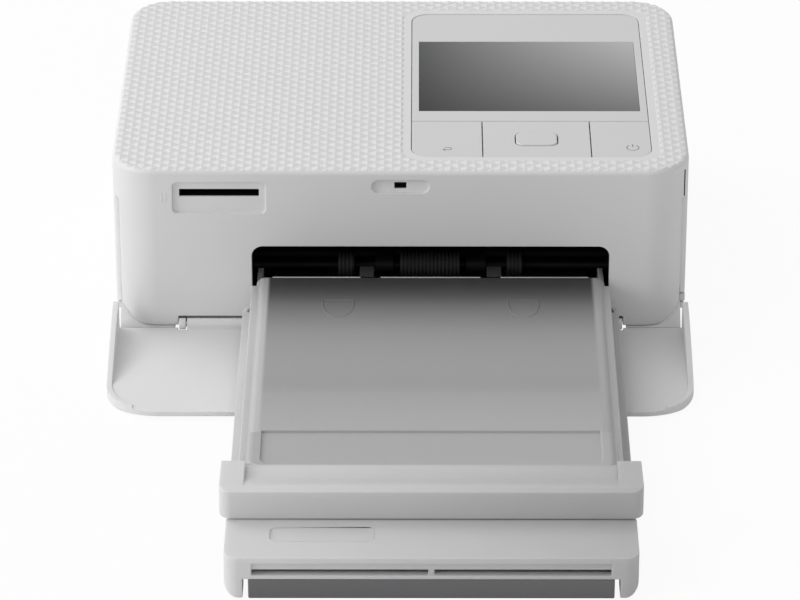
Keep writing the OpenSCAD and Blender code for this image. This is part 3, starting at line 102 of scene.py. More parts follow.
# The casing
SIDE = 2.2 * MM             # thickness of the side covers
BAND_LEFT = 9.8 * MM        # height of the wide band below the top cover's seam
CORNER = 14 * MM            # radius of the band's upright corners
NARROW_CORNER = 12 * MM     # radius of the corners below it
CHIN = 9 * MM               # radius of the front panel's lower corners
TOP_EDGE = 1.6 * MM         # radius of the top's round edge
PANEL_CORNER = 5.8 * MM     # radius of the smooth panel's corners
SHARP = math.radians(38)    # steeper edges than this are rounded
SMOOTH = math.radians(32)   # flatter edges than this are shaded smooth
# The cassette's lid
PLATE_TOP = 20.4 * MM       # height of its plate
PLATE_HALF = 51.1 * MM      # half width of the plate
PLATE_LONG = 98 * MM        # length of the plate, up to the lower field
FIELD_HALF = 53.8 * MM      # half width of the lower field
FIELD_CORNER = 4.2 * MM     # radius of the field's front corners
FIELD_FRONT = 20.8 * MM     # from the lid's front to the field
LID_GUIDE = 8 * MM          # the paper guides reach this far behind the rear edge
GUIDE_PLACE = 19 * MM       # from the lid's middle to a paper guide
GUIDE_HALF = 3.2 * MM       # half the gap that the rear edge's bead leaves for it
# Painted shade on the lid's plate: its grey at a distance in millimetres from its rear edge
LID_PAINTED_SHADE = ((0, 0.075), (8, 0.09), (18, 0.19), (36, 0.35), (60, 0.4), (69, 0.36),
              (75, 0.42), (97, 0.49), (98, 0.46), (117, 0.48))
NODES = frame["nodes"]
BODY_OF = {node: body for body, nodes in frame["record"]["behaviour"]["bodies"].items()
           for node in nodes}
SLOT_OF = {part["node"]: part["material_slot"] for part in frame["record"]["subparts"]}

# The camera that was fitted to the photograph
CAMERA_PLACE = (0.0062, -1.2045, 0.6662)
CAMERA_TURN = (math.radians(62.19), 0, math.radians(0.10))
CAMERA_LENS = 195.9
CAMERA_SHIFT = (-0.01675, -0.0384)
# Name, place, size in metres and power in watts; each lamp faces the origin
LAMPS = (("key", (-1.363, -0.496, 0.676), 0.9, 8.4),
         ("top", (-0.788, 0.661, 1.226), 1.0, 7.1),
         ("fill", (0, 0, 1.6), 1.0, 0.7))
STUDIO = 0.97               # grey of the light from all sides
STUDIO_STRENGTH = 0.52
FLOOR_GLOW = 0.93           # share of plain white in the floor that the camera sees


# ---------------------------------------------------------------- settings

class PrinterLooks(bpy.types.PropertyGroup):
    """Sizes and colours that a user would change"""
    edge: FloatProperty(
        name="Edge radius", description="Rounding of the casing's edges; the rest follow it",
        default=0.25 * MM, min=0.05 * MM, max=0.6 * MM, unit="LENGTH")
    relief_pitch_x: FloatProperty(
        name="Relief pitch across", description="Width of one diamond of the top's relief",
        default=5.2 * MM, min=2 * MM, max=9 * MM, unit="LENGTH")
    relief_pitch_y: FloatProperty(
        name="Relief pitch along", description="Depth of one diamond of the top's relief",
        default=4.2 * MM, min=2 * MM, max=9 * MM, unit="LENGTH")
    relief_height: FloatProperty(
        name="Relief height", description="Height of a diamond's crest",
        default=0.45 * MM, min=0.05 * MM, max=0.6 * MM, unit="LENGTH")
    white: FloatVectorProperty(
        name="White", description="Colour of the casing",
        subtype="COLOR", size=3, min=0, max=1, default=(0.80, 0.80, 0.80))
    panel: FloatVectorProperty(
        name="Panel", description="Colour of the smooth panel and its keys",
        subtype="COLOR", size=3, min=0, max=1, default=(0.72, 0.72, 0.72))
    milky: FloatVectorProperty(
        name="Cassette", description="Colour of the cassette's milky plastic",
        subtype="COLOR", size=3, min=0, max=1, default=(0.74, 0.74, 0.74))
    grey: FloatVectorProperty(
        name="Grey", description="Colour of the cassette's foot bar",
        subtype="COLOR", size=3, min=0, max=1, default=(0.16, 0.16, 0.165))
    mark: FloatVectorProperty(
        name="Marks", description="Colour of the symbols printed on the keys",
        subtype="COLOR", size=3, min=0, max=1, default=(0.3, 0.3, 0.31))


def looks():
    return bpy.context.scene.printer_looks


# ---------------------------------------------------------------- shader maths

class Value:
    """A shader value on which Python's arithmetic adds Math nodes"""

    def __init__(self, tree, socket):
        self.tree, self.socket = tree, socket

    def math(self, operation, *values):
        return self.tree.math(operation, self, *values)

    def __add__(self, other):
        return self.math("ADD", other)

    def __radd__(self, other):
        return self.tree.math("ADD", other, self)

    def __sub__(self, other):
        return self.math("SUBTRACT", other)

    def __rsub__(self, other):
        return self.tree.math("SUBTRACT", other, self)

    def __mul__(self, other):
        return self.math("MULTIPLY", other)

    def __rmul__(self, other):
        return self.tree.math("MULTIPLY", other, self)

    def __truediv__(self, other):
        return self.math("DIVIDE", other)

    def clamp(self):
        return self.math("MAXIMUM", 0.0).math("MINIMUM", 1.0)


class Finish:
    """One material: a Principled shader and the nodes that feed it"""

    def __init__(self, name, **constants):
        self.material = bpy.data.materials.new(name)
        self.material.use_nodes = True
        self.nodes = self.material.node_tree.nodes
        self.links = self.material.node_tree.links
        self.nodes.clear()
        self.output = self.nodes.new("ShaderNodeOutputMaterial")
        self.shader = self.nodes.new("ShaderNodeBsdfPrincipled")
        self.links.new(self.shader.outputs[0], self.output.inputs["Surface"])
        self.feed(**constants)

    def put(self, socket, value):
        if isinstance(value, Value):
            self.links.new(value.socket, socket)
        elif isinstance(value, (tuple, list)) and len(value) == 3 and socket.type == "RGBA":
            socket.default_value = (*value, 1.0)
        else:
            socket.default_value = value

    def add(self, kind, settings=None, *values, output=0, **named):
        node = self.nodes.new(kind)
        for key, value in (settings or {}).items():
            setattr(node, key, value)
        for i, value in enumerate(values):
            self.put(node.inputs[i], value)
        for key, value in named.items():
            self.put(node.inputs[key.replace("_", " ")], value)
        return Value(self, node.outputs[output])

    def math(self, operation, *values):
        return self.add("ShaderNodeMath", {"operation": operation}, *values)

    def feed(self, **values):
        for key, value in values.items():
            self.put(self.shader.inputs[key.replace("_", " ")], value)

    def place(self):
        return self.add("ShaderNodeTexCoord", output="Object")

    def axes(self):
        """The x, y and z of a point on the object, in metres"""
        split = self.nodes.new("ShaderNodeSeparateXYZ")
        self.links.new(self.place().socket, split.inputs[0])
        return [Value(self, s) for s in split.outputs]

    def noise(self, size, detail=2.0, roughness=0.5):
        """Cloudy value from 0 to 1 with grains of that size"""
        return self.add("ShaderNodeTexNoise", None, Vector=self.place(), Scale=1 / size,
                        Detail=detail, Roughness=roughness)

    def ramp(self, value, low, high):
        """0 at low and 1 at high"""
        return ((value - low) / (high - low)).clamp()

    def mix(self, factor, first, second):
        """First colour where the factor is 0, second where it is 1"""
        node = self.nodes.new("ShaderNodeMix")
        node.data_type = "RGBA"
        self.put(node.inputs[0], factor)
        self.put(node.inputs[6], first)
        self.put(node.inputs[7], second)
        return Value(self, node.outputs[2])

    def shades(self, value, stops):
        """Grey that runs smoothly through (value, grey) stops"""
        node = self.nodes.new("ShaderNodeValToRGB")
        node.color_ramp.interpolation = "B_SPLINE"
        first, last = stops[0][0], stops[-1][0]
        points = node.color_ramp.elements
        while len(points) < len(stops):
            points.new(0.5)
        for point, (place, tone) in zip(points, stops):
            point.position = (place - first) / (last - first)
            point.color = (*grey(tone), 1.0)
        self.put(node.inputs[0], self.ramp(value, first, last))
        return Value(self, node.outputs[0])

    def bump(self, height, distance, strength=1.0):
        self.feed(Normal=self.add("ShaderNodeBump", None, Height=height, Distance=distance,
                                  Strength=strength))


def shaded(colour, share):
    return tuple(c * share for c in colour)


def grey(tone):
    return (tone, tone, tone)


def moulded(name, colour, roughness, grain=0.12 * MM, depth=0.004 * MM, spread=0.05,
            specular=0.5):
    """Moulded plastic: fine spark-eroded grain and a little unevenness"""
    finish = Finish(name, IOR=1.49, Specular_IOR_Level=specular)
    cloud = finish.noise(18 * MM, 3.0)
    fine = finish.noise(grain, 2.0, 0.6)
    finish.feed(Base_Color=finish.mix(cloud, shaded(colour, 0.985), shaded(colour, 1.01)),
                Roughness=roughness + (fine - 0.5) * spread)
    finish.bump(fine, depth)
    return finish.material


def milky(name):
    """Milky plastic: light spreads a few millimetres inside it, and its colour is painted
    lighter at the left and darker to the right, as painted light and shade
    """
    finish = Finish(name, IOR=1.5, Subsurface_Weight=0.35, Subsurface_Scale=3 * MM,
                    Subsurface_Radius=(1.0, 1.0, 1.0))
    low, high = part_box("cassette_base")
    colour = tuple(looks().milky)
    cloud = finish.noise(25 * MM, 2.0)
    across = finish.ramp(finish.axes()[0], low.x, high.x)
    fine = finish.noise(0.4 * MM, 2.0)
    # painted light and shade: the key lamp stands at the left, so the left is painted lighter
    # and the right painted darker
    left = finish.mix(cloud, shaded(colour, 0.99), shaded(colour, 1.03))
    right = finish.mix(cloud, shaded(colour, 0.71), shaded(colour, 0.75))
    tone = finish.mix(across, left, right)
    finish.feed(Base_Color=tone, Roughness=0.32 + (fine - 0.5) * 0.06)
    finish.bump(fine, 0.006 * MM)
    return finish, tone


def milky_plastic_painted_light():
    return milky("milky_plastic_painted_light")[0].material


def lid_plastic_painted_shade():
    """The lid's milky plastic: its flat plate is painted dark as painted shade, darkest near
    the slot
    """
    finish, tone = milky("lid_plastic_painted_shade")
    x, y, _ = finish.axes()
    low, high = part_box("cassette_cover")
    rear = high.y - LID_GUIDE
    soft, border = 0.5 * MM, 0.2 * MM
    aside = finish.math("ABSOLUTE", x - (low.x + high.x) / 2)
    behind = finish.ramp(y, rear - PLATE_LONG - border, rear - PLATE_LONG + border)
    plate = finish.ramp(aside, PLATE_HALF + soft, PLATE_HALF - soft) * behind
    # the lower field is a little wider, with round front corners
    corner_x = (aside - (FIELD_HALF - FIELD_CORNER)).math("MAXIMUM", 0.0)
    corner_y = ((low.y + FIELD_FRONT + FIELD_CORNER) - y).math("MAXIMUM", 0.0)
    corner = (corner_x * corner_x + corner_y * corner_y).math("SQRT")
    edge = 0.3 * MM
    field = finish.ramp(corner, FIELD_CORNER + edge, FIELD_CORNER - edge) * (1 - behind)
    # painted shade: the plate and the lower field darken towards the slot under the printer
    painted_plate_shade = finish.shades((rear - y) / MM, LID_PAINTED_SHADE)
    # painted shade: the shoulders behind the ramp are painted a fifth darker
    shoulder_shade = finish.ramp(y, low.y + 19 * MM, low.y + 23 * MM) * 0.22
    outside = finish.mix(shoulder_shade, tone, grey(0.0))
    finish.feed(Base_Color=finish.mix((plate + field).clamp(), outside, painted_plate_shade))
    return finish.material


def display_painted_reflection():
    """Dark display behind its glass, with a painted reflection that is lightest at the rear
    right
    """
    finish = Finish("display_painted_reflection", Roughness=0.12, IOR=1.5, Specular_IOR_Level=0.25)
    x, y, _ = finish.axes()
    low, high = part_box("lcd_glass")
    right = finish.ramp(x, low.x, high.x)
    front = finish.ramp(y, high.y, low.y)
    rear = finish.mix(right, (0.1, 0.1, 0.102), (0.53, 0.53, 0.535))
    near = finish.mix(right, (0.033, 0.033, 0.034), (0.19, 0.19, 0.192))
    finish.feed(Base_Color=finish.mix(front, rear, near))
    return finish.material


def metal(name, colour, roughness, stretch=(1, 60, 60)):
    """Plated or ground metal with fine lines along X"""
    finish = Finish(name, Metallic=1.0)
    place = finish.add("ShaderNodeMapping", None, Vector=finish.place(), Scale=stretch)
    lines = finish.add("ShaderNodeTexNoise", None, Vector=place, Scale=160.0, Detail=2.0)
    finish.feed(Base_Color=finish.mix(lines, shaded(colour, 0.88), shaded(colour, 1.05)),
                Roughness=roughness + (lines - 0.5) * 0.15)
    return finish.material


def rubber(name, colour):
    finish = Finish(name, IOR=1.52)
    dust = finish.noise(1.2 * MM, 4.0, 0.7)
    finish.feed(Base_Color=finish.mix(dust, shaded(colour, 0.8), shaded(colour, 1.5)),
                Roughness=0.72 + (dust - 0.5) * 0.2)
    finish.bump(dust, 0.02 * MM)
    return finish.material


def circuit_board():
    """Green solder mask with a faint pattern of traces"""
    finish = Finish("circuit_board", Roughness=0.35, IOR=1.5)
    traces = finish.add("ShaderNodeTexBrick", {"offset": 0.5}, Vector=finish.place(),
                        Color1=(0.02, 0.17, 0.07), Color2=(0.025, 0.2, 0.085),
                        Mortar=(0.06, 0.3, 0.14), Scale=220.0)
    finish.feed(Base_Color=traces)
    return finish.material


def paper_card():
    finish = Finish("paper_card", Roughness=0.3, IOR=1.48)
    _, y, z = finish.axes()
    sheets = finish.add("ShaderNodeMath", {"operation": "FRACT"}, z / (0.25 * MM))
    paper = finish.mix(sheets, (0.86, 0.86, 0.85), (0.9, 0.9, 0.89))
    # painted shade: the end that lies under the rollers is painted nearly black
    start, end = 17 * MM, 19 * MM
    roller_shade = finish.ramp(y, start, end)
    finish.feed(Base_Color=finish.mix(roller_shade, paper, grey(0.02)))
    return finish.material


def dye_film():
    """Ribbon film, wound so tight that its dyes look nearly black"""
    finish = Finish("dye_film", Roughness=0.22, IOR=1.5)
    cloud = finish.noise(12 * MM, 1.0)
    finish.feed(Base_Color=finish.mix(cloud, (0.03, 0.022, 0.06), (0.055, 0.035, 0.09)))
    return finish.material


FINISHES = {}


def finish_of(slot):
    """The material of a slot of the record, made once"""
    if slot not in FINISHES:
        white, panel = tuple(looks().white), tuple(looks().panel)
        FINISHES[slot] = {
            "casing": lambda: moulded("white_casing", white, 0.46),
            "panel": lambda: moulded("smooth_panel", panel, 0.34, depth=0.002 * MM),
            "keys": lambda: moulded("white_keys", panel, 0.34, depth=0.002 * MM),
            "dark_plastic": lambda: moulded("black_plastic", (0.009, 0.009, 0.01), 0.6,
                                            specular=0.2),
            "rubber": lambda: rubber("black_rubber", (0.02, 0.02, 0.021)),
            "steel": lambda: metal("plated_steel", (0.55, 0.56, 0.58), 0.32),
            "display_glass": display_painted_reflection,
            "display_frame": lambda: metal("display_frame", (0.25, 0.25, 0.27), 0.5),
            "board": circuit_board,
            "cassette_plastic": milky_plastic_painted_light,
            "grey_plastic": lambda: moulded("grey_plastic", tuple(looks().grey), 0.45),
            "paper": paper_card,
            "gears": lambda: moulded("natural_acetal", (0.72, 0.71, 0.67), 0.4),
            "brass": lambda: metal("brass", (0.7, 0.52, 0.22), 0.3),
            "ribbon_film": dye_film,
            "head_metal": lambda: metal("ground_aluminium", (0.6, 0.61, 0.63), 0.38),
        }[slot]()
    return FINISHES[slot]


def wear(piece, material):
    piece.data.materials.clear()
    piece.data.materials.append(material)


# ---------------------------------------------------------------- modelling helpers

def alone(piece):
    """Only this piece is selected and active"""
    if bpy.context.object and bpy.context.object.mode != "OBJECT":
        bpy.ops.object.mode_set(mode="OBJECT")
    bpy.ops.object.select_all(action="DESELECT")
    piece.select_set(True)
    bpy.context.view_layer.objects.active = piece


def apply_modifiers(piece):
    alone(piece)
    for modifier in list(piece.modifiers):
        bpy.ops.object.modifier_apply(modifier=modifier.name)


def settle(piece, body, slot, *nodes, material=None):
    """Puts the piece's place in its mesh, gives it its finish, records what it rides on, and
    hides the nodes that it stands for
    """
    alone(piece)
    bpy.ops.object.transform_apply(location=True, rotation=True, scale=True)
    wear(piece, material or finish_of(slot))
    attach(piece, body)
    if nodes:
        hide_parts(*nodes)
    return piece


def turn_outward(piece):
    """Every face of the piece looks outward"""
    alone(piece)
    bpy.ops.object.mode_set(mode="EDIT")
    bpy.ops.mesh.select_all(action="SELECT")
    bpy.ops.mesh.normals_make_consistent(inside=False)
    bpy.ops.object.mode_set(mode="OBJECT")


def mark_edges(piece, seams):
    """Weight 1 on each sharp edge that a mould rounds, but none along a closed seam"""
    mesh = bmesh.new()
    mesh.from_mesh(piece.data)
    weight = mesh.edges.layers.float.new("bevel_weight_edge")
    for edge in mesh.edges:
        joined = any(all(abs(v.co.z - z) < 0.02 * MM for v in edge.verts) for z in seams)
        sharp = len(edge.link_faces) == 2 and edge.calc_face_angle() > SHARP
        edge[weight] = 1.0 if sharp and not joined else 0.0
    mesh.to_mesh(piece.data)
    mesh.free()


def soften(node, radius, seams=(), reshape=None, material=None):
    """A copy of a node with its sharp edges rounded, in place of the node"""
    source = NODES[node]
    piece = source.copy()
    piece.data = source.data.copy()
    piece.name = node + "_skin"
    piece.parent = None
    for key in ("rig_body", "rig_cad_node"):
        if key in piece:
            del piece[key]
    bpy.context.scene.collection.objects.link(piece)
    alone(piece)
    bpy.ops.object.mode_set(mode="EDIT")
    bpy.ops.mesh.select_all(action="SELECT")
    bpy.ops.mesh.remove_doubles(threshold=1e-6)
    bpy.ops.mesh.dissolve_limited(angle_limit=math.radians(0.3))
    bpy.ops.mesh.normals_make_consistent(inside=False)
    bpy.ops.object.mode_set(mode="OBJECT")
    if reshape:
        for vertex in piece.data.vertices:
            reshape(vertex.co)
    mark_edges(piece, seams)
    bevel = piece.modifiers.new("edges", "BEVEL")
    bevel.width = radius
    bevel.segments = 2
    bevel.limit_method = "WEIGHT"
    bevel.use_clamp_overlap = False
    apply_modifiers(piece)
    bpy.ops.object.shade_smooth_by_angle(angle=SMOOTH)
    weigh = piece.modifiers.new("flats", "WEIGHTED_NORMAL")
    weigh.keep_sharp = True
    apply_modifiers(piece)
    return settle(piece, BODY_OF[node], SLOT_OF[node], node, material=material)


def outline_half(half, radius, back):
    """Half width of a round-cornered outline at a distance back from its front"""
    if back >= radius:
        return half
    return half - radius + math.sqrt(radius ** 2 - (radius - max(back, 0)) ** 2)


def fill_corners(point):
    """Brings the front panel's lower corners out to the band above them"""
    low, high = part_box("front_panel")
    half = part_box("top_cover")[1].x
    narrow = half - SIDE
    back = point.y - low.y
    blend = 8 * MM              # flat stretch beside the corner that moves along with it
    start = narrow - NARROW_CORNER - blend
    if point.z > high.z - BAND_LEFT + 0.01 * MM or abs(point.x) < start:
        return
    inner = outline_half(narrow, NARROW_CORNER, back)
    if back > NARROW_CORNER or abs(point.x) > inner + 0.02 * MM:
        return
    outer = min(outline_half(half, CORNER, back), narrow)
    share = min((abs(point.x) - start) / (inner - start), 1)
    point.x += math.copysign((outer - inner) * share, point.x)


def thin_front_edge(point):
    """Thins the front cover's plate towards its free edge, from below"""
    taken, length = 1 * MM, 6 * MM
    reach = 1 - (point.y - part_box("front_cover")[0].y) / length
    if point.z < taken and reach > 0:
        point.z = max(point.z, taken * reach)


def line_piece(name, lines, radius, flat=1.0):
    """Round line along each list of points, pressed flat along Z where flat is below 1"""
    curve = bpy.data.curves.new(name, "CURVE")
    curve.dimensions = "3D"
    curve.bevel_depth = radius
    curve.bevel_resolution = 3
    curve.use_fill_caps = True
    for points in lines:
        spline = curve.splines.new("POLY")
        spline.points.add(len(points) - 1)
        for point, place in zip(spline.points, points):
            point.co = (*place, 1)
    piece = bpy.data.objects.new(name, curve)
    bpy.context.scene.collection.objects.link(piece)
    alone(piece)
    bpy.ops.object.convert(target="MESH")
    height = sum(v.co.z for v in piece.data.vertices) / len(piece.data.vertices)
    for v in piece.data.vertices:
        v.co.z = height + (v.co.z - height) * flat
    bpy.ops.object.shade_smooth_by_angle(angle=math.radians(40))
    return piece


def arc(centre, radius, start, end, steps=24):
    """Points of an arc in the plane of X and Y, from one angle to the other in degrees"""
    angles = [math.radians(start + (end - start) * i / steps) for i in range(steps + 1)]
    return [(centre[0] + radius * math.cos(a), centre[1] + radius * math.sin(a), centre[2])
            for a in angles]


def printed(name):
    """Grey pad-printed ink"""
    return moulded(name, tuple(looks().mark), 0.5, depth=0.001 * MM)


# ---------------------------------------------------------------- operators

class PRINTER_OT_stage(bpy.types.Operator):
    """Camera, floor and soft studio light"""
    bl_idname = "printer.stage"
    bl_label = "Stage"

    def execute(self, context):
        scene = context.scene
        scene.view_settings.view_transform = "Standard"
        camera_data = bpy.data.cameras.new("camera")
        camera_data.sensor_width = 36
        camera_data.lens = CAMERA_LENS
        camera_data.shift_x, camera_data.shift_y = CAMERA_SHIFT
        camera_data.clip_end = 20
        camera = bpy.data.objects.new("camera", camera_data)
        camera.location = CAMERA_PLACE
        camera.rotation_euler = CAMERA_TURN
        scene.collection.objects.link(camera)
        scene.camera = camera

        bpy.ops.object.select_all(action="DESELECT")
        bpy.ops.mesh.primitive_plane_add(size=6, location=(0, 0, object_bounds()[0].z))
        floor = context.object
        floor.name = "floor"
        wear(floor, self.paper_white())
        floor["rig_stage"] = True

        world = bpy.data.worlds.new("studio")
        scene.world = world
        world.use_nodes = True
        nodes, links = world.node_tree.nodes, world.node_tree.links
        back = nodes["Background"]
        path = nodes.new("ShaderNodeLightPath")
        plain = nodes.new("ShaderNodeBackground")
        plain.inputs["Color"].default_value = (1, 1, 1, 1)
        plain.inputs["Strength"].default_value = 1.0
        back.inputs["Color"].default_value = (*grey(STUDIO), 1)
        back.inputs["Strength"].default_value = STUDIO_STRENGTH
        mix = nodes.new("ShaderNodeMixShader")
        links.new(path.outputs["Is Camera Ray"], mix.inputs[0])
        links.new(back.outputs[0], mix.inputs[1])
        links.new(plain.outputs[0], mix.inputs[2])
        links.new(mix.outputs[0], nodes["World Output"].inputs["Surface"])

        for lamp in LAMPS:
            self.lamp(*lamp)
        return {"FINISHED"}

    def lamp(self, name, place, size, power):
        data = bpy.data.lights.new(name, "AREA")
        data.shape = "DISK"
        data.size = size
        data.energy = power
        lamp = bpy.data.objects.new(name, data)
        lamp.location = place
        lamp.rotation_euler = (-Vector(place)).to_track_quat("-Z", "Y").to_euler()
        bpy.context.scene.collection.objects.link(lamp)

    def paper_white(self):
        """White sweep that shows white to the camera and keeps the shadow"""
        finish = Finish("paper_white", Roughness=0.9, Base_Color=(0.9, 0.9, 0.9))
        finish.material.node_tree.links.clear()
        path = finish.nodes.new("ShaderNodeLightPath")
        glow = finish.nodes.new("ShaderNodeEmission")
        glow.inputs["Strength"].default_value = 1.0
        mix = finish.nodes.new("ShaderNodeMixShader")
        keep = finish.nodes.new("ShaderNodeMath")
        keep.operation = "MULTIPLY"
        keep.inputs[1].default_value = FLOOR_GLOW
        finish.links.new(path.outputs["Is Camera Ray"], keep.inputs[0])
        finish.links.new(keep.outputs[0], mix.inputs[0])
        finish.links.new(finish.shader.outputs[0], mix.inputs[1])
        finish.links.new(glow.outputs[0], mix.inputs[2])
        finish.links.new(mix.outputs[0], finish.output.inputs["Surface"])
        return finish.material


# Painted shade: nodes that lie in the dark of an opening wear black plastic in place of their
# own finish
PAINTED_SHADE_NODES = ("pickup_shaft", "card_reader")


class PRINTER_OT_frame_finishes(bpy.types.Operator):
    """Every node of the frame gets its finish"""
    bl_idname = "printer.frame_finishes"
    bl_label = "Finishes of the frame"

    def execute(self, context):
        for name, node in NODES.items():
            wear(node, finish_of("dark_plastic" if name in PAINTED_SHADE_NODES else SLOT_OF[name]))
        return {"FINISHED"}


# Edge radius of each visible moulding, as a share of the looks' edge radius
SOFTENED = {
    "lower_case": 1.0, "front_panel": 1.2, "left_side_cover": 1.2, "right_side_cover": 0.8,
    "ink_door": 1.0, "top_cover": 0.8, "front_cover": 1.0, "control_panel": 0.6,
    "menu_back_key": 0.48, "nav_key": 0.48, "ok_key": 0.4, "power_key": 0.48,
    "cassette_base": 1.2, "cassette_cover": 1.2, "cassette_bar": 1.6,
}
RESHAPED = {"front_panel": fill_corners, "front_cover": thin_front_edge}


class PRINTER_OT_mouldings(bpy.types.Operator):
    """The visible mouldings, with their edges rounded as a mould leaves them"""
    bl_idname = "printer.mouldings"
    bl_label = "Mouldings"

    def execute(self, context):
        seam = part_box("front_panel")[1].z
        seams = {"front_panel": (seam, seam - BAND_LEFT), "top_cover": (seam,)}
        for node, share in SOFTENED.items():
            soften(node, share * looks().edge, seams.get(node, ()), RESHAPED.get(node),
                   lid_plastic_painted_shade() if node == "cassette_cover" else None)
        return {"FINISHED"}


def inside(x, y, low, high, radius):
    """Distance of a point into a rectangle with round corners, negative outside it"""
    dx = abs(x - (low.x + high.x) / 2) - (high.x - low.x) / 2 + radius
    dy = abs(y - (low.y + high.y) / 2) - (high.y - low.y) / 2 + radius
    return radius - math.hypot(max(dx, 0), max(dy, 0)) - min(max(dx, dy), 0)


class PRINTER_OT_relief(bpy.types.Operator):
    """Relief of small pyramids all over the top cover, round the smooth panel"""
    bl_idname = "printer.relief"
    bl_label = "Top relief"

    def execute(self, context):
        low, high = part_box("top_cover")
        panel_low, panel_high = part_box("control_panel")
        px, py, height = looks().relief_pitch_x, looks().relief_pitch_y, looks().relief_height
        parts = 6                               # cells of the sheet along one pyramid
        rim, gap = 0.5 * MM, 0.45 * MM          # bare edge of the cover, and round the panel
        rise, sunk, proud = 0.5 * MM, 0.04 * MM, 0.02 * MM
        count_x = math.ceil((high.x - low.x) / px) * parts
        count_y = math.ceil((high.y - low.y) / py) * parts
        centre = (low + high) / 2
        bpy.ops.object.select_all(action="DESELECT")
        bpy.ops.mesh.primitive_grid_add(
            x_subdivisions=count_x, y_subdivisions=count_y, size=1,
            location=(centre.x, centre.y, 0))
        sheet = context.object
        sheet.name = "top_relief"
        sheet.scale = (count_x * px / parts, count_y * py / parts, 1)
        bpy.ops.object.transform_apply(location=True, scale=True)

        def depth(x, y):
            """Distance into the field of pyramids, negative outside it"""
            body = inside(x, y, low, high, CORNER) - rim
            return min(body, -inside(x, y, panel_low, panel_high, PANEL_CORNER) - gap)

        def skin(x, y):
            """Height of the cover's own surface, with its round edge"""
            short = TOP_EDGE - inside(x, y, low, high, CORNER)
            if short <= 0:
                return high.z
            return high.z - TOP_EDGE + math.sqrt(max(TOP_EDGE ** 2 - short ** 2, 0))

        mesh = bmesh.new()
        mesh.from_mesh(sheet.data)
        waste = [f for f in mesh.faces if all(depth(v.co.x, v.co.y) <= 0 for v in f.verts)]
        bmesh.ops.delete(mesh, geom=waste, context="FACES")
        step = 0.01 * MM
        for v in mesh.verts:
            x, y = v.co.x, v.co.y
            into = depth(x, y)
            if into <= 0:
                # an outer corner of the sheet comes in to its outline, just under the skin
                way = Vector((depth(x + step, y) - depth(x - step, y),
                              depth(x, y + step) - depth(x, y - step)))
                if way.length > 0:
                    way.normalize()
                x, y = x - way.x * into, y - way.y * into
                v.co = (x, y, skin(x, y) - sunk)
                continue
            u, w = (x - centre.x) / px, (y - centre.y) / py
            across = abs(u - round(u)) + abs(w - round(w))
            crest = max(1 - 2 * across, 2 * across - 1)
            v.co.z = skin(x, y) + proud + min(into / rise, 1) * height * crest
        mesh.to_mesh(sheet.data)
        mesh.free()
        settle(sheet, "printer", "casing")
        return {"FINISHED"}


class PRINTER_OT_corner_feet(bpy.types.Operator):
    """Corner feet of the casing: they fill the hollow under the front panel's round chin"""
    bl_idname = "printer.corner_feet"
    bl_label = "Corner feet"

    def execute(self, context):
        face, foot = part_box("front_panel")[0].y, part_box("front_panel")[0].z
        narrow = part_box("top_cover")[1].x - SIDE
        start, end = narrow - 16.9 * MM, narrow + 0.35 * MM
        front, rear, bottom = face - 0.4 * MM, face + 11.2 * MM, 0.8 * MM
        gap, lowest, slope = 0.25 * MM, 1.5 * MM, 0.85
        middle = narrow - CHIN
        for side in (-1, 1):
            bpy.ops.object.select_all(action="DESELECT")
            bpy.ops.mesh.primitive_cube_add(size=2)
            block = context.object
            block.name = "corner_foot_left" if side < 0 else "corner_foot_right"
            bpy.ops.object.mode_set(mode="EDIT")
            bpy.ops.mesh.select_all(action="SELECT")
            bpy.ops.mesh.subdivide(number_cuts=15)
            bpy.ops.object.mode_set(mode="OBJECT")
            for v in block.data.vertices:
                x = start + (end - start) * (v.co.x + 1) / 2
                y = front + (rear - front) * (v.co.y + 1) / 2
                out = min(max(x - middle, 0), CHIN)
                chin = foot + CHIN - math.sqrt(CHIN ** 2 - out ** 2) - gap
                # it rises from the open cover's plate, so that the round chin stays in sight
                top = min(chin, bottom + lowest + slope * (y - front))
                v.co = (side * x, y, bottom + (top - bottom) * (v.co.z + 1) / 2)
            turn_outward(block)
            bpy.ops.object.shade_smooth_by_angle(angle=SMOOTH)
            settle(block, "printer", "casing")
        return {"FINISHED"}


class PRINTER_OT_fascia_details(bpy.types.Operator):
    """Black rod as painted shade in the slit of the ink door at the right corner, and two
    small bars beside the card slot
    """
    bl_idname = "printer.fascia_details"
    bl_label = "Fascia details"

    def execute(self, context):
        low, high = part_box("front_panel")
        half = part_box("top_cover")[1].x
        back, slit_r, slit_in = 7.7 * MM, 0.32 * MM, 0.12 * MM
        top, foot = high.z - 0.3 * MM, high.z - BAND_LEFT + 0.4 * MM
        x, y = outline_half(half, CORNER, back) - slit_in, low.y + back
        # painted shade: a black rod stands where the slit's gap is dark
        slit_shade = line_piece("ink_door_slit_shade", [[(x, y, foot), (x, y, top)]], slit_r)
        settle(slit_shade, "printer", "dark_plastic")
        bar_r, bar_in = 0.28 * MM, 0.16 * MM
        bar_foot, bar_top = high.z - 8 * MM, high.z - 4.8 * MM
        bars = [[(x, low.y + bar_in, bar_foot), (x, low.y + bar_in, bar_top)]
                for x in (-75.1 * MM, -73.8 * MM)]
        settle(line_piece("card_bars", bars, bar_r), "printer", "casing")
        return {"FINISHED"}


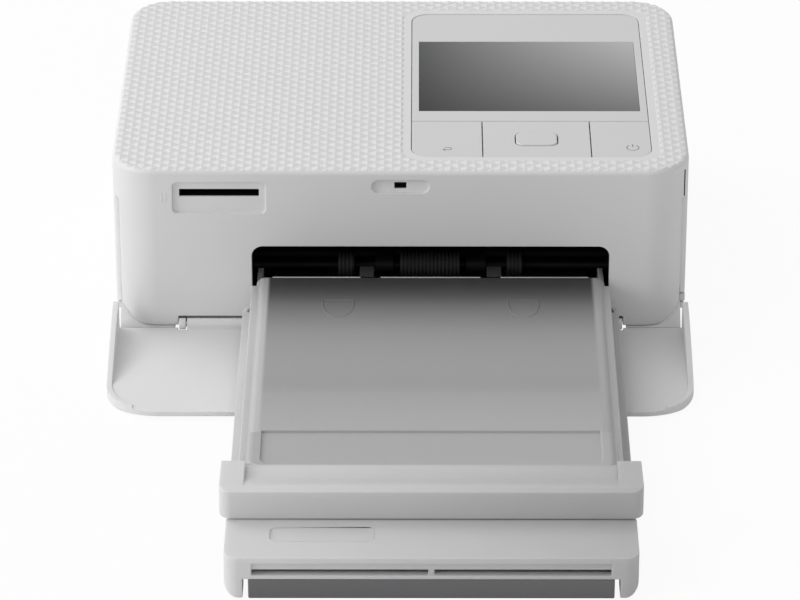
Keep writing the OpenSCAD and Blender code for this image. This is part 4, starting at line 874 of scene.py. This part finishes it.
class PRINTER_OT_wall_flanges(bpy.types.Operator):
    """Thin flanges on the cassette's side walls, which reach in under the lid's edge"""
    bl_idname = "printer.wall_flanges"
    bl_label = "Flanges of the cassette"

    def execute(self, context):
        low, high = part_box("cassette_base")
        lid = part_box("cassette_cover")[0]
        wide, thick, inset, below = 3.4 * MM, 0.45 * MM, 0.05 * MM, 0.1 * MM
        front, rear = lid.y + 14 * MM, 7 * MM
        for side, middle in (("left", low.x + inset + wide / 2),
                             ("right", high.x - inset - wide / 2)):
            bpy.ops.object.select_all(action="DESELECT")
            bpy.ops.mesh.primitive_cube_add(
                size=1, location=(middle, (front + rear) / 2, lid.z - below - thick / 2))
            flange = context.object
            flange.name = "wall_flange_" + side
            flange.scale = (wide, rear - front, thick)
            settle(flange, BODY_OF["cassette_base"], "cassette_plastic")
        return {"FINISHED"}


class PRINTER_OT_key_symbols(bpy.types.Operator):
    """Power ring and return arrow, printed on their keys"""
    bl_idname = "printer.key_symbols"
    bl_label = "Key symbols"

    def execute(self, context):
        line, flat, ink = 0.2 * MM, 0.12, printed("key_ink")
        low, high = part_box("power_key")
        centre = Vector(((low.x + high.x) / 2 + 3.6 * MM, (low.y + high.y) / 2 - 6.1 * MM,
                         high.z))
        ring = arc(centre, 1.9 * MM, 125, 415)
        bar = [centre + Vector((0, 0.4 * MM, 0)), centre + Vector((0, 2.4 * MM, 0))]
        power = line_piece("power_symbol", [ring, bar], line, flat)
        settle(power, "power_key", "keys", material=ink)

        low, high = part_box("menu_back_key")
        tip = Vector(((low.x + high.x) / 2 - 1.3 * MM, low.y + 5.2 * MM, high.z))
        length, turn, barb = 2 * MM, 0.75 * MM, 0.75 * MM
        shaft = [tip, tip + Vector((length, 0, 0))]
        bend = arc(tip + Vector((length, turn, 0)), turn, -90, 90, 10)
        back = [bend[-1], tip + Vector((0.7 * MM, 2 * turn, 0))]
        head = [tip + Vector((barb, barb, 0)), tip, tip + Vector((barb, -barb, 0))]
        arrow = line_piece("return_symbol", [shaft + bend + back, head], line, flat)
        settle(arrow, "menu_back_key", "keys", material=ink)
        return {"FINISHED"}


class PRINTER_OT_lid_marks(bpy.types.Operator):
    """Two raised finger marks on the lid, and the bead along its rear edge"""
    bl_idname = "printer.lid_marks"
    bl_label = "Marks on the lid"

    def execute(self, context):
        low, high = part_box("cassette_cover")
        middle = (low.x + high.x) / 2
        top = PLATE_TOP - 0.05 * MM
        rear = high.y - LID_GUIDE
        aside, behind = 29 * MM, 18 * MM            # from the middle, from the rear edge
        wide, deep, flat = 4.8 * MM, 8.3 * MM, 3 * MM
        surface = lid_plastic_painted_shade()
        for side in (-1, 1):
            x, y = middle + side * aside, rear - behind
            ring = [(a, y + (b - y) * deep / wide, c)
                    for a, b, c in arc((x, y, top), wide, 180, 360)]
            ring = [(x - wide, y + flat, top), *ring, (x + wide, y + flat, top)]
            ring.append(ring[0])
            mark = line_piece(f"finger_mark_{'left' if side < 0 else 'right'}", [ring],
                              0.4 * MM, 0.6)
            settle(mark, "cassette_cover", "cassette_plastic", material=surface)
        ends = 50 * MM
        places = (-ends, -GUIDE_PLACE - GUIDE_HALF, -GUIDE_PLACE + GUIDE_HALF,
                  GUIDE_PLACE - GUIDE_HALF, GUIDE_PLACE + GUIDE_HALF, ends)
        spans = [[(middle + a, rear, top), (middle + b, rear, top)]
                 for a, b in zip(places[::2], places[1::2])]
        bead = line_piece("lid_rear_bead", spans, 0.25 * MM)
        settle(bead, "cassette_cover", "cassette_plastic")
        return {"FINISHED"}


class PRINTER_PT_sidebar(bpy.types.Panel):
    """The printer's pieces, in the order in which they are made"""
    bl_label = "Photo printer"
    bl_space_type = "VIEW_3D"
    bl_region_type = "UI"
    bl_category = "Printer"

    def draw(self, context):
        for name in PrinterLooks.__annotations__:
            self.layout.prop(context.scene.printer_looks, name)
        for operator in OPERATORS:
            self.layout.operator(operator.bl_idname)


OPERATORS = (PRINTER_OT_stage, PRINTER_OT_frame_finishes, PRINTER_OT_mouldings,
             PRINTER_OT_relief, PRINTER_OT_corner_feet, PRINTER_OT_fascia_details,
             PRINTER_OT_wall_flanges, PRINTER_OT_key_symbols, PRINTER_OT_lid_marks)
CLASSES = (PrinterLooks, *OPERATORS, PRINTER_PT_sidebar)


def register():
    for cls in CLASSES:
        bpy.utils.register_class(cls)
    bpy.types.Scene.printer_looks = PointerProperty(type=PrinterLooks)


def unregister():
    del bpy.types.Scene.printer_looks
    for cls in reversed(CLASSES):
        bpy.utils.unregister_class(cls)


def main():
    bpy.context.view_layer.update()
    register()
    bpy.ops.printer.stage()
    bpy.ops.printer.frame_finishes()
    bpy.ops.printer.mouldings()
    bpy.ops.printer.relief()
    bpy.ops.printer.corner_feet()
    bpy.ops.printer.fascia_details()
    bpy.ops.printer.wall_flanges()
    bpy.ops.printer.key_symbols()
    bpy.ops.printer.lid_marks()
    bpy.context.view_layer.update()


if __name__ == "__main__":
    main()
